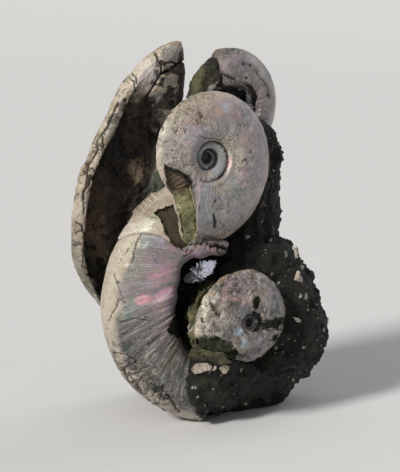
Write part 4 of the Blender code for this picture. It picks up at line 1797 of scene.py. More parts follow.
@dataclass(frozen=True)
class HollowPiece:
    """The tall broken whorl, open toward the viewer."""

    name: str = "whorl_fragment"
    stand: Stand = Stand((-57.7, 14.0, 153.2), 18.0)
    rim_zone: float = 13.5
    steps: int = 340
    ring_steps: int = 200
    stations: tuple[tuple[float, ...], ...] = (
        (44.5, 88.0, 48.2, 87.2, 1.0, 0.40),
        (39.2, 86.6, 49.9, 81.5, 1.0, 0.55),
        (32.5, 83.2, 50.9, 73.8, 1.0, 0.70),
        (25.2, 78.2, 50.8, 64.2, 1.0, 0.82),
        (17.9, 71.7, 50.1, 55.2, 1.0, 0.92),
        (10.6, 64.6, 48.8, 45.6, 0.85, 1.0),
        (4.6, 55.8, 46.4, 35.3, 0.40, 1.0),
        (-0.5, 44.8, 43.6, 25.0, 0.05, 1.0),
        (-5.5, 34.8, 40.2, 14.7, 0.0, 1.0),
        (-10.8, 25.1, 36.8, 5.0, 0.0, 1.0),
        (-15.5, 14.7, 33.0, -5.3, 0.0, 1.0),
        (-19.9, 5.3, 29.2, -15.6, 0.0, 1.0),
        (-22.7, -6.8, 25.8, -26.0, 0.0, 1.0),
        (-24.9, -20.2, 22.0, -36.3, 0.0, 1.0),
        (-26.2, -33.7, 18.2, -46.1, 0.0, 1.0),
        (-26.0, -46.1, 14.0, -55.8, 0.0, 0.97),
        (-22.9, -57.4, 10.2, -65.5, 0.1, 0.90),
        (-17.9, -68.3, 6.8, -74.6, 0.4, 0.78),
        (-11.3, -78.0, 4.3, -83.1, 0.8, 0.60),
        (-5.1, -85.5, 2.6, -89.1, 1.0, 0.40),
    )
    outside: tuple[tuple[float, float], ...] = (
        (0.0, 0.0), (1.6, -4.5), (5.5, -9.5), (12.0, -13.5), (0.55, -15.5), (0.80, -14.5), (1.0, -12.0),
    )
    inside: tuple[tuple[float, float], ...] = (
        (1.0, -5.5), (0.80, -7.5), (0.55, -8.5), (13.5, -7.0), (9.0, -2.5), (7.6, 3.5), (7.4, 7.6),
    )
    cover: tuple[tuple[float, float], ...] = (
        (1.0, -2.0), (0.80, 2.5), (0.55, 5.5), (13.5, 7.5), (9.0, 8.2), (7.6, 8.2), (7.4, 7.9),
    )
    lip: tuple[tuple[float, float], ...] = ((4.2, 7.4), (1.3, 4.2))
    roundel: tuple[tuple[float, float], tuple[float, float]] = ((137.0, 169.0), (8.0, 11.5))
    little_coil: tuple[tuple[float, float], tuple[float, float]] = ((91.0, 178.0), (5.0, 5.5))
    dim_down: tuple[float, float] = (170.0, 240.0)
    whole_across: tuple[float, float] = (122.0, 134.0)
    whole_down: tuple[float, float] = (118.0, 108.0)
    bare: tuple[Patch, ...] = (
        Patch(Tint.UMBER, 182.5, 76, 6, 20, 1, 0, 0.25), Patch(Tint.UMBER, 178, 99, 10, 13, 1, 0, 0.25),
        Patch(Tint.UMBER, 167.5, 101, 8, 8, 0.9, -20, 0.25), Patch(Tint.UMBER, 167, 72.5, 7, 3, 1, -12, 0.25),
        Patch(Tint.UMBER, 176, 69, 6, 4.5, 0.9, 0, 0.25), Patch(Tint.UMBER, 146, 102, 6, 8, 0.9, 30, 0.25),
    )
    marks: Marks = Marks(
        # Inside the hollow, the black patches and the umber ones at (140, 115), (134, 138) and (118, 205) are painted
        # shade; the bone patch at (147, 76) is painted light on the cover's middle.
        patches=(
            Patch(Tint.BONE, 147, 76, 10, 21, 0.85, 35), Patch(Tint.LILAC, 149, 78, 8, 15, 0.35, 35),
            Patch(Tint.BROWN, 131, 101, 15, 8, 0.55, -35), Patch(Tint.PEARL, 172, 54, 9, 9, 0.75),
            Patch(Tint.TAN, 174, 43, 8, 2.5, 0.6), Patch(Tint.GREY, 156, 98, 11, 8, 0.75, -35),
            Patch(Tint.PEARL, 167, 81, 8, 5, 0.75, -15), Patch(Tint.BLACK, 145, 124, 34, 24, 0.75),
            Patch(Tint.BLACK, 118, 155, 15, 28, 0.6), Patch(Tint.BLACK, 148, 200, 12, 26, 0.6),
            Patch(Tint.TAN, 98, 236, 14, 30, 0.75), Patch(Tint.TAN, 137, 169, 9, 13, 0.85),
            Patch(Tint.RUST, 96, 222, 9, 14, 0.35), Patch(Tint.OLIVE, 90, 268, 9, 26, 0.6),
            Patch(Tint.BROWN, 97, 195, 12, 22, 0.7), Patch(Tint.UMBER, 118, 205, 12, 34, 0.9, 12),
            Patch(Tint.UMBER, 140, 115, 22, 16, 0.8), Patch(Tint.UMBER, 134, 138, 15, 14, 0.7),
            Patch(Tint.SAGE, 75, 262, 5, 30, 0.5, -8), Patch(Tint.SAGE, 86, 292, 8, 14, 0.5),
            Patch(Tint.MOSS, 160, 190, 8, 22, 0.5),
        ),
        cracks=(
            Crack((
                (155, 52), (158, 60), (162, 66), (161.5, 73), (158, 79), (153, 87), (147.5, 95), (146.5, 102),
            ), 1.5, 1.8),
            Crack(((161, 74), (166, 72), (172, 68), (178, 64), (184, 61)), 1.9, 2.2),
            Crack(((159, 61), (167, 63.5), (175, 62.5)), 0.9, 1),
            Crack(((164, 64), (171, 61.5), (177, 64.5), (183, 62)), 1.1, 1.3),
            Crack(((131, 73), (135.5, 78), (136.5, 84)), 0.9, 0.9),
            Crack(((117.5, 103), (112, 116), (106, 128), (100.5, 134), (102, 139), (104, 147)), 1.4, 1.4),
            Crack(((100.5, 134), (96.5, 142), (97.5, 150), (93, 158), (88, 164), (84.5, 163)), 1.5, 1.4),
            Crack(((88, 164), (86.5, 175), (90, 182), (83.5, 191), (82, 199)), 1.7, 1.6),
            Crack(((82, 170), (88, 176), (86, 184), (83, 196), (84, 214)), 1.3, 1.3),
            Crack(((75, 222), (82, 226), (85, 234), (84, 250), (88, 266)), 1.3, 1.3),
            Crack(((88, 266), (92, 280), (96, 290), (100, 300)), 1.4, 1.2),
            Crack(((128, 76), (134, 82), (136, 92)), 0.8, 0.6), Crack(((92, 142), (98, 147)), 0.8, 0.6),
            Crack(((72, 240), (78, 244), (83, 243)), 0.9, 0.7), Crack(((78, 181), (82, 184)), 0.8, 0.6),
        ),
        pits=((91, 178, 3, 0.6), (126, 100, 2, 0.8), (100, 262, 4.5, 1.4), (94, 248, 2, 0.9)),
    )

    def rings(self) -> Array:
        """The piece's cross-sections, one for each station, in the stand's plane.

        Returns:
            One closed row of corners a station.
        """
        made = []
        for left_across, left_up, right_across, right_up, cover, scale in self.stations:
            left = np.array((left_across, left_up))
            inward = np.array((right_across, right_up)) - left
            width = np.linalg.norm(inward)
            inward /= width
            narrow = min(scale, 0.5 * width / self.rim_zone)
            raised = zip(self.inside, self.cover)
            rows = [*self.outside, *((reach, low + (high - low) * cover) for (reach, low), (_, high) in raised)]
            rows += self.lip
            lengths = [reach * width if 0.0 < reach <= 1.0 else reach * narrow for reach, _ in rows]
            made.append([
                (*(left + inward * length), height * scale) for length, (_, height) in zip(lengths, rows)
            ])
        return np.array(made)

    def mesh(self) -> bpy.types.Object:
        """Loft smoothly through the cross-sections and round each of them.

        Returns:
            The closed loft.
        """
        rings = self.rings()
        count, corners = rings.shape[0], rings.shape[1]
        flat = rings.reshape(count, -1)
        many = rounded(flat, self.steps + 1, False).reshape(self.steps + 1, corners, 3)
        fine = np.stack([rounded(ring, self.ring_steps + 1, True) for ring in many])
        number = np.arange(corners + 1, dtype=float)[:, None]
        turn = np.concatenate([many[0], many[0][:1]])
        chord = np.concatenate([[0.0], np.cumsum(np.linalg.norm(np.diff(turn, axis=0), axis=1))])
        place = np.interp(np.linspace(0.0, chord[-1], self.ring_steps + 1), chord, number[:, 0])
        fine[:, -1] = fine[:, 0]
        obj, at, over = new_grid(self.name, self.steps, self.ring_steps)
        put_points(obj, self.stand.placed(fine[at, over]))
        station = at / self.steps * (count - 1)
        keep_own(obj, station=station, place=place[over] * (over < self.ring_steps))
        return joined([obj])

    def build(self) -> bpy.types.Object:
        """Mesh, shape, paint and finish the broken whorl.

        Returns:
            The finished piece.
        """
        surface = Surface(self.mesh())
        station = surface.own("station")
        _, toward = self.stand.axes()
        facing = smooth((surface.normals @ toward + 0.15) / 0.3)
        covers = np.interp(station, np.arange(len(self.stations)), [row[4] for row in self.stations])
        jagged, place = 0.75 * surface.rough(4.5, 4, 33), surface.own("place")
        hollow = ramp(place + 1.2 * jagged, 14.05, 13.90) * ramp(place, 6.6, 6.9) * smooth(facing * 2.0)
        hollow = hollow * (1.0 - smooth((covers + 0.6 * jagged - 0.45) / 0.3))
        crust = surface.rough(9.0, 4, 3) * 2.0 + 1.1 * np.abs(surface.rough(4.2, 3, 5))
        lump = 3.2 * smooth(1.35 - surface.reach_from(*self.roundel)) * (0.8 + 0.5 * surface.grain(4.0, 8))
        lump = lump + 1.4 * smooth(1.0 - np.abs(surface.reach_from(*self.little_coil) - 0.8) / 0.35)
        shell = 0.7 * surface.grain(16.0, 1) + 0.35 * surface.rough(5.0, 3, 2)
        edge = ramp(station, 0.0, 0.7) * ramp(station, 19.0, 18.3)
        surface.push(((crust + lump) * hollow + shell * (1.0 - hollow)) * edge)
        dark, sunk = self.marks.wear(surface, facing)
        gap, number = surface.plates(5.0, 0.10, 7)
        crumbled = ramp(surface.rough(9.0, 2, 8), 0.05, 0.7) * (1.0 - hollow)
        split = 0.8 * smooth(1.0 - gap / 0.3) * crumbled * (number > 0.35)
        surface.push((0.9 * (number - 0.5) * crumbled - 0.3 * split - sunk) * edge)
        # Painted shade: a dark line along the hollow's edge.
        lip = 4.0 * hollow * (1.0 - hollow) * facing
        dark_marks = np.maximum(np.maximum(dark, 0.8 * split), lip)
        self.paint(surface, facing, hollow, np.clip(dark_marks, 0.0, 1.0))
        return surface.finished(self.name, OldShell().make())

    def paint(self, surface: Surface, front: Array, hollow: Array, dark: Array) -> None:
        """Cream outside, dark brown inside darkened further as painted shade, with the marks of the front.

        Args:
            surface: the mesh as it is now.
            front: 1 for the points that look at the viewer.
            hollow: 1 inside the open whorl.
            dark: darkness of the cracks and pits, and the painted shade line along the hollow's edge.
        """
        wash = surface.rough(13.0, 3, 4)
        base = coat(Tint.CREAM, len(wash))
        base = layered(
            base,
            (Tint.BONE, ramp(wash, 0.1, 0.9) * 0.6),
            (Tint.TAN, ramp(wash, -0.2, -0.9) * 0.5),
        )
        knobs = surface.rough(4.5, 3, 51)
        # Inside: dark brown, darkened as painted shade, with brown and tan knobs; umber blotches outside.
        base = layered(
            base,
            ((0.017, 0.0105, 0.007), hollow),
            (Tint.BROWN, hollow * ramp(wash + 0.6 * knobs, 0.1, 1.0) * 0.6),
            (Tint.TAN, hollow * ramp(knobs, 0.75, 1.1) * 0.35),
            (Tint.UMBER, (1.0 - hollow) * ramp(knobs - 0.4 * wash, 0.7, 1.0) * 0.7),
        )
        base = self.marks.colours(surface, base, front)
        base = base * (1.0 - 0.35 * ramp(surface.pixels[:, 1], *self.dim_down) * front)[:, None]
        ragged, bare = 1.6 * surface.rough(3.4, 3, 61), 0.0 * hollow
        for patch in self.bare:
            bare = np.maximum(bare, patch.mask(surface.pixels, ragged) * front)
        base = layered(
            base,
            ((0.020, 0.013, 0.009), bare * 0.95),
            (Tint.BROWN, bare * ramp(knobs, 0.4, 1.0) * 0.6),
        )
        surface.set_colour(base)
        across, down = surface.pixels.T
        cover = ramp(across, *self.whole_across) * ramp(down, *self.whole_down) * front
        crazed = (1.0 - 0.8 * hollow) * (1.0 - 0.92 * cover)
        surface.set_values(inside=np.maximum(hollow, bare), wear=dark, craze=crazed)
        surface.forget("station", "place")


def copy_of_node(name: str, voxel: float) -> Surface:
    """A merged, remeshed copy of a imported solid, ready to be roughened.

    Args:
        name: the node's name.
        voxel: width of the new mesh's squares in millimetres.

    Returns:
        The copy as a surface.
    """
    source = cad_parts[name]
    obj = bpy.data.objects.new(name + "_copy", source.data.copy())
    bpy.context.scene.collection.objects.link(obj)
    obj.data.materials.clear()
    select_only(obj)
    bpy.ops.object.mode_set(mode="EDIT")
    bpy.ops.mesh.select_all(action="SELECT")
    bpy.ops.mesh.remove_doubles(threshold=1e-6)
    bpy.ops.object.mode_set(mode="OBJECT")
    skin = obj.modifiers.new("Skin", "REMESH")
    skin.mode = "VOXEL"
    skin.voxel_size = voxel * MM
    bpy.ops.object.modifier_apply(modifier=skin.name)
    for name_left in [layer.name for layer in obj.data.attributes if not layer.is_internal]:
        if name_left not in ("position", "material_index"):
            layer = obj.data.attributes.get(name_left)
            if layer is not None and not layer.is_required:
                obj.data.attributes.remove(layer)
    return Surface(obj)


@dataclass(frozen=True)
class Rock:
    """The siltstone: ledges, lumps, grains, green mud along the small shell, and painted shadow in two gaps."""

    name: str = "rock_matrix"
    voxel: float = 1.15
    foot_zone: float = 4.0
    # Mud and moss colours, and two black patches painted as shadow: in the gap by the large shell's navel edge and in
    # the cavity behind the crystals.
    mud: tuple[Patch, ...] = (
        Patch(Tint.MOSS, 203, 300, 9, 30, 0.85, 22), Patch(Tint.MUD, 188, 326, 7, 17, 0.85, -6),
        Patch(Tint.MOSS, 196, 344, 15, 13, 0.9), Patch(Tint.OLIVE, 214, 352, 22, 10, 0.9),
        Patch(Tint.OLIVE, 207, 381, 8, 4, 0.25, -15), Patch(Tint.OLIVE, 214, 389, 14, 9, 0.2),
        Patch(Tint.SAGE, 157, 190, 8, 22, 0.35), Patch(Tint.BLACK, 178, 308, 9, 34, 0.95),
        Patch(Tint.BLACK, 200, 268, 28, 16, 0.95),
    )
    flecks: tuple[tuple[float, float, float, float], ...] = (
        (247.5, 237, 1.5, 1.4), (271, 240, 0.8, 2.2), (286, 254, 1.2, 3), (302, 267.5, 1.6, 2),
        (305.8, 296.7, 1.2, 2.6), (300, 296.7, 0.8, 1.6), (308.3, 310, 1.4, 0.9), (324, 329.5, 0.8, 1.8),
        (271.7, 273.3, 0.9, 0.9), (278, 283, 0.9, 0.8), (275.8, 348.3, 0.9, 1.4), (304, 347.5, 1.1, 0.8),
        (293.3, 380, 1, 1.3), (192.5, 388, 1.1, 1.6), (195.5, 387.5, 0.9, 1.6), (240.8, 370, 0.7, 1),
        (245.8, 403.5, 2, 0.8), (223.3, 407, 1.6, 0.7), (211.7, 283.3, 0.8, 1.6), (190, 328.3, 1.8, 4.2),
        (249, 219, 0.8, 1), (262.5, 221, 0.7, 1.2), (250, 246, 0.7, 0.7), (198, 396, 0.8, 0.8),
    )

    def build(self) -> bpy.types.Object:
        """Roughen a copy of the solid, keep its foot flat, and paint it.

        Returns:
            The finished piece.
        """
        surface = copy_of_node(self.name, self.voxel)
        up = surface.places[:, 2] - FLOOR_UP
        free = ramp(up, 0.3, self.foot_zone)
        ridged = 1.0 - 2.0 * np.abs(surface.grain(11.0, 1))
        height = 1.7 * ridged + 1.8 * surface.rough(7.0, 4, 2) + 0.8 * surface.rough(2.6, 2, 3)
        gap, number = surface.plates(9.0, 0.45, 1)
        height += 2.4 * (number - 0.5) * smooth(gap / 0.8) - 0.6 * smooth(1.0 - gap / 0.5)
        for letter in CHIPS:
            corners = np.array([tuple(corner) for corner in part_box("shell_chip_" + letter)]) / MM + ORIGIN
            far = np.linalg.norm(surface.places - corners.mean(axis=0), axis=1)
            free = free * ramp(far, 3.0, 9.0)
        surface.push((height - 0.8) * free)
        gap, number = surface.plates(3.2, 0.3, 4)
        crumb = smooth(0.2 + 1.2 * surface.grain(12.0, 6))
        surface.push(0.7 * (number - 0.45) * smooth(gap / 0.4) * crumb * free)
        front = surface.front()
        wash = surface.rough(15.0, 3, 9)
        base = coat(Tint.SILT, len(wash))
        base = blended(base, Tint.OLIVE, ramp(wash, 0.4, 1.2) * 0.25)
        for patch in self.mud:
            base = blended(base, patch.tint, patch.mask(surface.pixels, surface.rough(5.0, 3, 5)) * front)
        pixels = surface.pixels + np.stack([0.5 * surface.grain(1.7, seed) for seed in (51, 52)], axis=1)
        shell = np.zeros(len(wash))
        for across, down, wide, high in self.flecks:
            reach = np.hypot((pixels[:, 0] - across) / wide, (pixels[:, 1] - down) / high)
            shell = np.maximum(shell, smooth((1.25 - reach) / 0.5) * ramp(surface.facing, 0.25, 0.5))
        surface.push(0.5 * shell)
        surface.set_colour(base)
        surface.set_values(shell=shell, wear=smooth(1.0 - gap / 0.45) * 0.6 * crumb)
        return surface.finished(self.name, Siltstone().make(), 60.0)


@dataclass(frozen=True)
class MouthFill:
    """Hardened mud that fills the end of a shell."""

    name: str
    base: Tint | Colour
    streak: Tint | Colour
    lump: float = 0.9
    voxel: float = 0.55
    pale: Colour = (0.20, 0.19, 0.10)
    marks: Marks = Marks()

    def build(self) -> bpy.types.Object:
        """Roughen a copy of the solid and paint it.

        Returns:
            The finished piece.
        """
        surface = copy_of_node(self.name, self.voxel)
        height = self.lump * (surface.rough(4.5, 4, 2) - 0.5) + 0.3 * surface.rough(1.8, 2, 6)
        surface.push(height)
        front = surface.front()
        dark, depth = self.marks.wear(surface, front)
        surface.push(-depth)
        wash = surface.rough(6.0, 3, 9)
        base = coat(self.base, len(wash))
        base = blended(base, self.streak, ramp(wash, -0.1, 0.8) * 0.8)
        surface.set_colour(self.marks.colours(surface, base, front))
        surface.set_values(wear=dark)
        return surface.finished(self.name, HardMud(self.name + "_mud", self.pale).make(), 60.0)


@dataclass(frozen=True)
class MudTongue:
    """The mud that stands out of the upper shell's broken mouth, with thin shell along its sides."""

    name: str = "upper_mouth_fill"
    steps: int = 150
    ring_steps: int = 120
    thickness: float = 9.0
    rows: tuple[tuple[float, float, float, float], ...] = (
        (183.0, 175.0, 186.0, -24.5), (185.0, 172.5, 189.5, -26.0), (191.0, 171.2, 191.5, -29.0),
        (198.0, 172.8, 193.8, -31.5), (205.0, 174.2, 195.6, -33.0), (212.0, 176.8, 196.6, -33.6),
        (219.0, 179.0, 197.4, -33.2), (226.0, 180.2, 198.0, -32.2), (232.0, 180.8, 197.6, -31.0),
        (238.0, 182.6, 195.6, -29.2), (242.5, 185.0, 193.4, -27.2), (245.0, 187.5, 191.0, -25.4),
    )
    marks: Marks = Marks(
        patches=(
            Patch(Tint.BROWN, 180, 188, 9, 9, 0.75, -20), Patch(Tint.BONE, 179.2, 207.5, 1.8, 1.2, 0.95, 20, 0.3),
            Patch(Tint.BONE, 177.5, 205.2, 0.8, 1, 0.9, 20, 0.3), Patch(Tint.OLIVE, 190, 225, 5, 14, 0.5, -8),
        ),
        cracks=(
            Crack(((194, 206), (195.5, 214), (195, 222), (196, 230)), 1, 0.9),
            Crack(((181, 214), (182, 224), (184, 234)), 0.7, 0.6),
        ),
    )

    def build(self) -> bpy.types.Object:
        """Loft the tongue down its rows, roughen it and paint it.

        Returns:
            The finished piece.
        """
        obj, at, over = new_grid(self.name, self.steps, self.ring_steps)
        table = rounded(np.array(self.rows), self.steps + 1, False)
        down, left, right, near = table[at].T
        round_way = 2.0 * np.pi * (over % self.ring_steps) / self.ring_steps
        across = np.sign(np.cos(round_way)) * np.abs(np.cos(round_way)) ** 0.55
        out = np.sign(np.sin(round_way)) * np.abs(np.sin(round_way)) ** 0.55
        middle, half = 0.5 * (left + right), 0.5 * (right - left)
        thin = 0.5 * self.thickness * np.sin(np.pi * np.clip(at / self.steps, 0.04, 0.96)) ** 0.35
        deep = near + thin - thin * out
        put_points(obj, VIEW.placed(middle + half * across, down, deep))
        keep_own(obj, edge=np.abs(across) * (out > -0.5))
        surface = Surface(joined([obj]))
        flange = ramp(surface.own("edge") + 0.10 * surface.rough(3.0, 2, 4), 0.86, 0.94)
        height = 1.0 * surface.rough(4.5, 4, 2) + 0.5 * surface.rough(1.8, 2, 6)
        surface.push(height * (1.0 - 0.5 * flange) + 1.1 * flange - 0.5)
        front = surface.front()
        dark, depth = self.marks.wear(surface, front)
        surface.push(-depth)
        wash = surface.rough(5.0, 3, 9)
        base = coat(Tint.MOSS, len(wash))
        base = blended(base, Tint.MUD, ramp(wash, -0.2, 0.6) * 0.8)
        base = self.marks.colours(surface, base, front)
        base = blended(base, Tint.CREAM, flange * 0.85)
        surface.set_colour(base)
        surface.set_values(wear=dark)
        surface.forget("edge")
        return surface.finished(self.name, HardMud("tongue_mud").make(), 60.0)


@dataclass(frozen=True)
class ShellChip:
    """A small bit of broken shell in the rock."""

    name: str
    base: Tint
    voxel: float = 0.24

    def build(self) -> bpy.types.Object:
        """Chip the edges of a copy of the solid and paint it.

        Returns:
            The finished piece.
        """
        surface = copy_of_node(self.name, self.voxel)
        surface.push(0.34 * surface.rough(1.8, 3, 2) - 0.05)
        gap, number = surface.plates(2.3, 0.4, 5)
        surface.push(0.30 * (number - 0.5) - 0.18 * smooth(1.0 - gap / 0.18))
        wash = surface.rough(2.5, 3, 9)
        base = coat(self.base, len(wash))
        base = blended(base, Tint.BONE, ramp(wash, 0.0, 0.8) * 0.6)
        low = surface.places[:, 2] - surface.places[:, 2].min()
        base = blended(base, Tint.UMBER, ramp(low, 1.2, 0.2) * 0.7 + ramp(surface.facing, 0.1, -0.4) * 0.5)
        surface.set_colour(base)
        dark_marks = 0.7 * smooth(1.0 - gap / 0.15)
        surface.set_values(wear=dark_marks, craze=0.3, patina=0.6, ribbed=0.0, lined=0.2, dull=0.0, sheen=0.3)
        surface.set_coil(surface.places[:, 0] * 0.01, surface.places[:, 2] * 0.1)
        return surface.finished(self.name, Nacre(self.name + "_nacre", crackle=3.0, speck=1.4).make(), 60.0)


@dataclass(frozen=True)
class CrystalCrust:
    """The white crystals: many flat-sided points on one lens-shaped root."""

    name: str = "crystal_crust"
    stand: Stand = Stand((-0.6, 0.0, 95.0), 15.0)
    half_size: tuple[float, float, float] = (11.0, 3.9, 3.0)
    roll: float = 28.0
    points: int = 210
    seed: int = 8

    def root(self) -> bpy.types.Object:
        """The lens that the crystals stand on.

        Returns:
            The lens.
        """
        select_only(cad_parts["rock_matrix"])
        bpy.ops.mesh.primitive_ico_sphere_add(subdivisions=5, radius=1.0)
        obj = bpy.context.active_object
        bpy.ops.object.mode_set(mode="EDIT")
        bpy.ops.transform.resize(value=(1.0, 1.0, 0.96))
        bpy.ops.object.mode_set(mode="OBJECT")
        ball = read_points(obj)
        lumpy = 0.92 + 0.16 * rough(ball * 10.0, 3.0, 3, 3)
        put_points(obj, self.stand.placed(self.rolled(ball * np.array(self.half_size) * 0.9 * lumpy[:, None])))
        keep_own(obj, root=np.ones(len(ball)))
        return obj

    def rolled(self, local: Array) -> Array:
        """Turn the lens in its own plane, its left end down.

        Args:
            local: places in the piece's own frame.

        Returns:
            The turned places.
        """
        turned = math.radians(self.roll)
        across = local[:, 0] * math.cos(turned) - local[:, 1] * math.sin(turned)
        upward = local[:, 0] * math.sin(turned) + local[:, 1] * math.cos(turned)
        return np.stack([across, upward, local[:, 2]], axis=1)

    def blade(self, base: Array, way: Array, length: float, width: float, flat: float, spin: float) -> bpy.types.Object:
        """One crystal: a six-sided bar whose end is drawn to a slanting point.

        Args:
            base: the place that it stands on.
            way: the direction that it points in.
            length: its length.
            width: its half width.
            flat: its depth as a share of its width.
            spin: its turn about itself.

        Returns:
            The crystal.
        """
        bpy.ops.mesh.primitive_cylinder_add(vertices=6, radius=1.0, depth=1.0, end_fill_type="NGON")
        obj = bpy.context.active_object
        build = bmesh.new()
        build.from_mesh(obj.data)
        top = [face for face in build.faces if face.normal.z > 0.9]
        made = bmesh.ops.extrude_discrete_faces(build, faces=top)
        for face in made["faces"]:
            bmesh.ops.translate(build, verts=face.verts, vec=(0.0, 0.0, 0.32))
            bmesh.ops.scale(build, verts=face.verts, vec=(0.28, 0.28, 1.0))
        build.to_mesh(obj.data)
        build.free()
        bar = read_points(obj)
        upright = Vector(way).normalized()
        turn = np.array((Vector((0.0, 0.0, 1.0)).rotation_difference(upright)).to_matrix())
        cos, sin = math.cos(spin), math.sin(spin)
        across, deep = bar[:, 0] * width, bar[:, 1] * width * flat
        shaped = np.stack([across * cos - deep * sin, across * sin + deep * cos, (bar[:, 2] + 0.4) * length], axis=1)
        put_points(obj, self.stand.placed(self.rolled(base + shaped @ turn.T)))
        return obj

    def build(self) -> bpy.types.Object:
        """Set the crystals round the root, join them and finish the crust.

        Returns:
            The finished piece.
        """
        chance = np.random.default_rng(self.seed)
        parts = [self.root()]
        half = np.array(self.half_size)
        for _ in range(self.points):
            place = chance.normal(size=3)
            place[2] = abs(place[2]) * 1.2
            place /= np.linalg.norm(place)
            way = np.array((0.75 * place[0] + 0.10, 0.75 + 0.80 * place[1], 0.40 + 0.5 * place[2]))
            way = way / np.linalg.norm(way) + chance.normal(size=3) * 0.30
            way /= np.linalg.norm(way)
            fade = 1.0 - 0.55 * max(-place[0], 0.0)
            length, width = chance.uniform(2.0, 4.0) * fade, chance.uniform(0.32, 0.66) * fade
            flat, spin = chance.uniform(0.35, 0.8), chance.uniform(0.0, 2.0 * math.pi)
            parts.append(self.blade(place * half * 0.88, way, length, width, flat, spin))
        select_only(*parts)
        bpy.ops.object.join()
        surface = Surface(bpy.context.active_object)
        left = (self.stand.centre[0] - surface.places[:, 0]) / self.half_size[0]
        mud = ramp(surface.rough(3.0, 2, 6) + 1.2 * left, 0.10, 0.60)
        # The root is painted near black, as shade in the gaps between the blades; the mud darkens the left end.
        surface.set_values(wear=np.clip(0.95 * surface.own("root") + 0.85 * mud, 0.0, 1.0))
        surface.forget("root")
        return surface.finished(self.name, WhiteCrystal().make(), 20.0)


@dataclass(frozen=True)
class Studio:
    """Pale floor, pale surroundings and soft lamps."""

    pale: Colour = (0.78, 0.78, 0.77)
    flat: float = 3.5
    reach: float = 14.0
    rise: float = 0.012

    def build(self) -> None:
        """Lay the floor, light the room and place the lamps."""
        floor, ring, turn = new_grid("floor", 160, 64)
        out, way = self.reach * ring / 160.0, 2.0 * np.pi * turn / 64.0
        up = self.rise * np.clip(out - self.flat, 0.0, None) ** 2 - 0.0002
        put_points(floor, np.stack([out * np.cos(way), out * np.sin(way), up], axis=1) / MM + ORIGIN)
        bpy.ops.object.mode_set(mode="EDIT")
        bpy.ops.mesh.select_all(action="SELECT")
        bpy.ops.mesh.remove_doubles(threshold=1e-5)
        bpy.ops.mesh.normals_make_consistent(inside=False)
        bpy.ops.object.mode_set(mode="OBJECT")
        bpy.ops.object.shade_smooth()
        bench = Bench("studio_floor")
        tone = bench.noise(35.0, 2.0).eased(0.3, 0.7)
        bench.wire(Base_Color=bench.mix(tone, self.pale, tuple(0.985 * part for part in self.pale)), Roughness=0.75)
        floor.data.materials.append(bench.material)
        world = bpy.data.worlds.new("pale_room")
        bpy.context.scene.world = world
        world.use_nodes = True
        world.node_tree.nodes["Background"].inputs["Color"].default_value = (0.86, 0.87, 0.90, 1.0)
        world.node_tree.nodes["Background"].inputs["Strength"].default_value = 0.33
        self.sun("key_light", (-0.68, -0.68, 0.64), 2.95, 12.0, (1.0, 0.965, 0.92))
        self.sun("rim_light", (0.80, 0.65, 0.55), 0.5, 40.0, (0.92, 0.96, 1.0))
        bpy.context.scene.view_settings.view_transform = "Standard"

    @staticmethod
    def sun(name: str, place: tuple[float, float, float], power: float, spread: float, colour: Colour) -> None:
        """Add a soft distant light that shines from a place toward the fossil.

        Args:
            name: the name to give it.
            place: where it shines from.
            power: its strength.
            spread: how wide it seems, in degrees.
            colour: its colour.
        """
        aim = (-Vector(place)).to_track_quat("-Z", "Y").to_euler()
        bpy.ops.object.light_add(type="SUN", location=place, rotation=aim)
        light = bpy.context.active_object
        light.name = name
        light.data.angle = math.radians(spread)
        light.data.energy = power
        light.data.color = colour


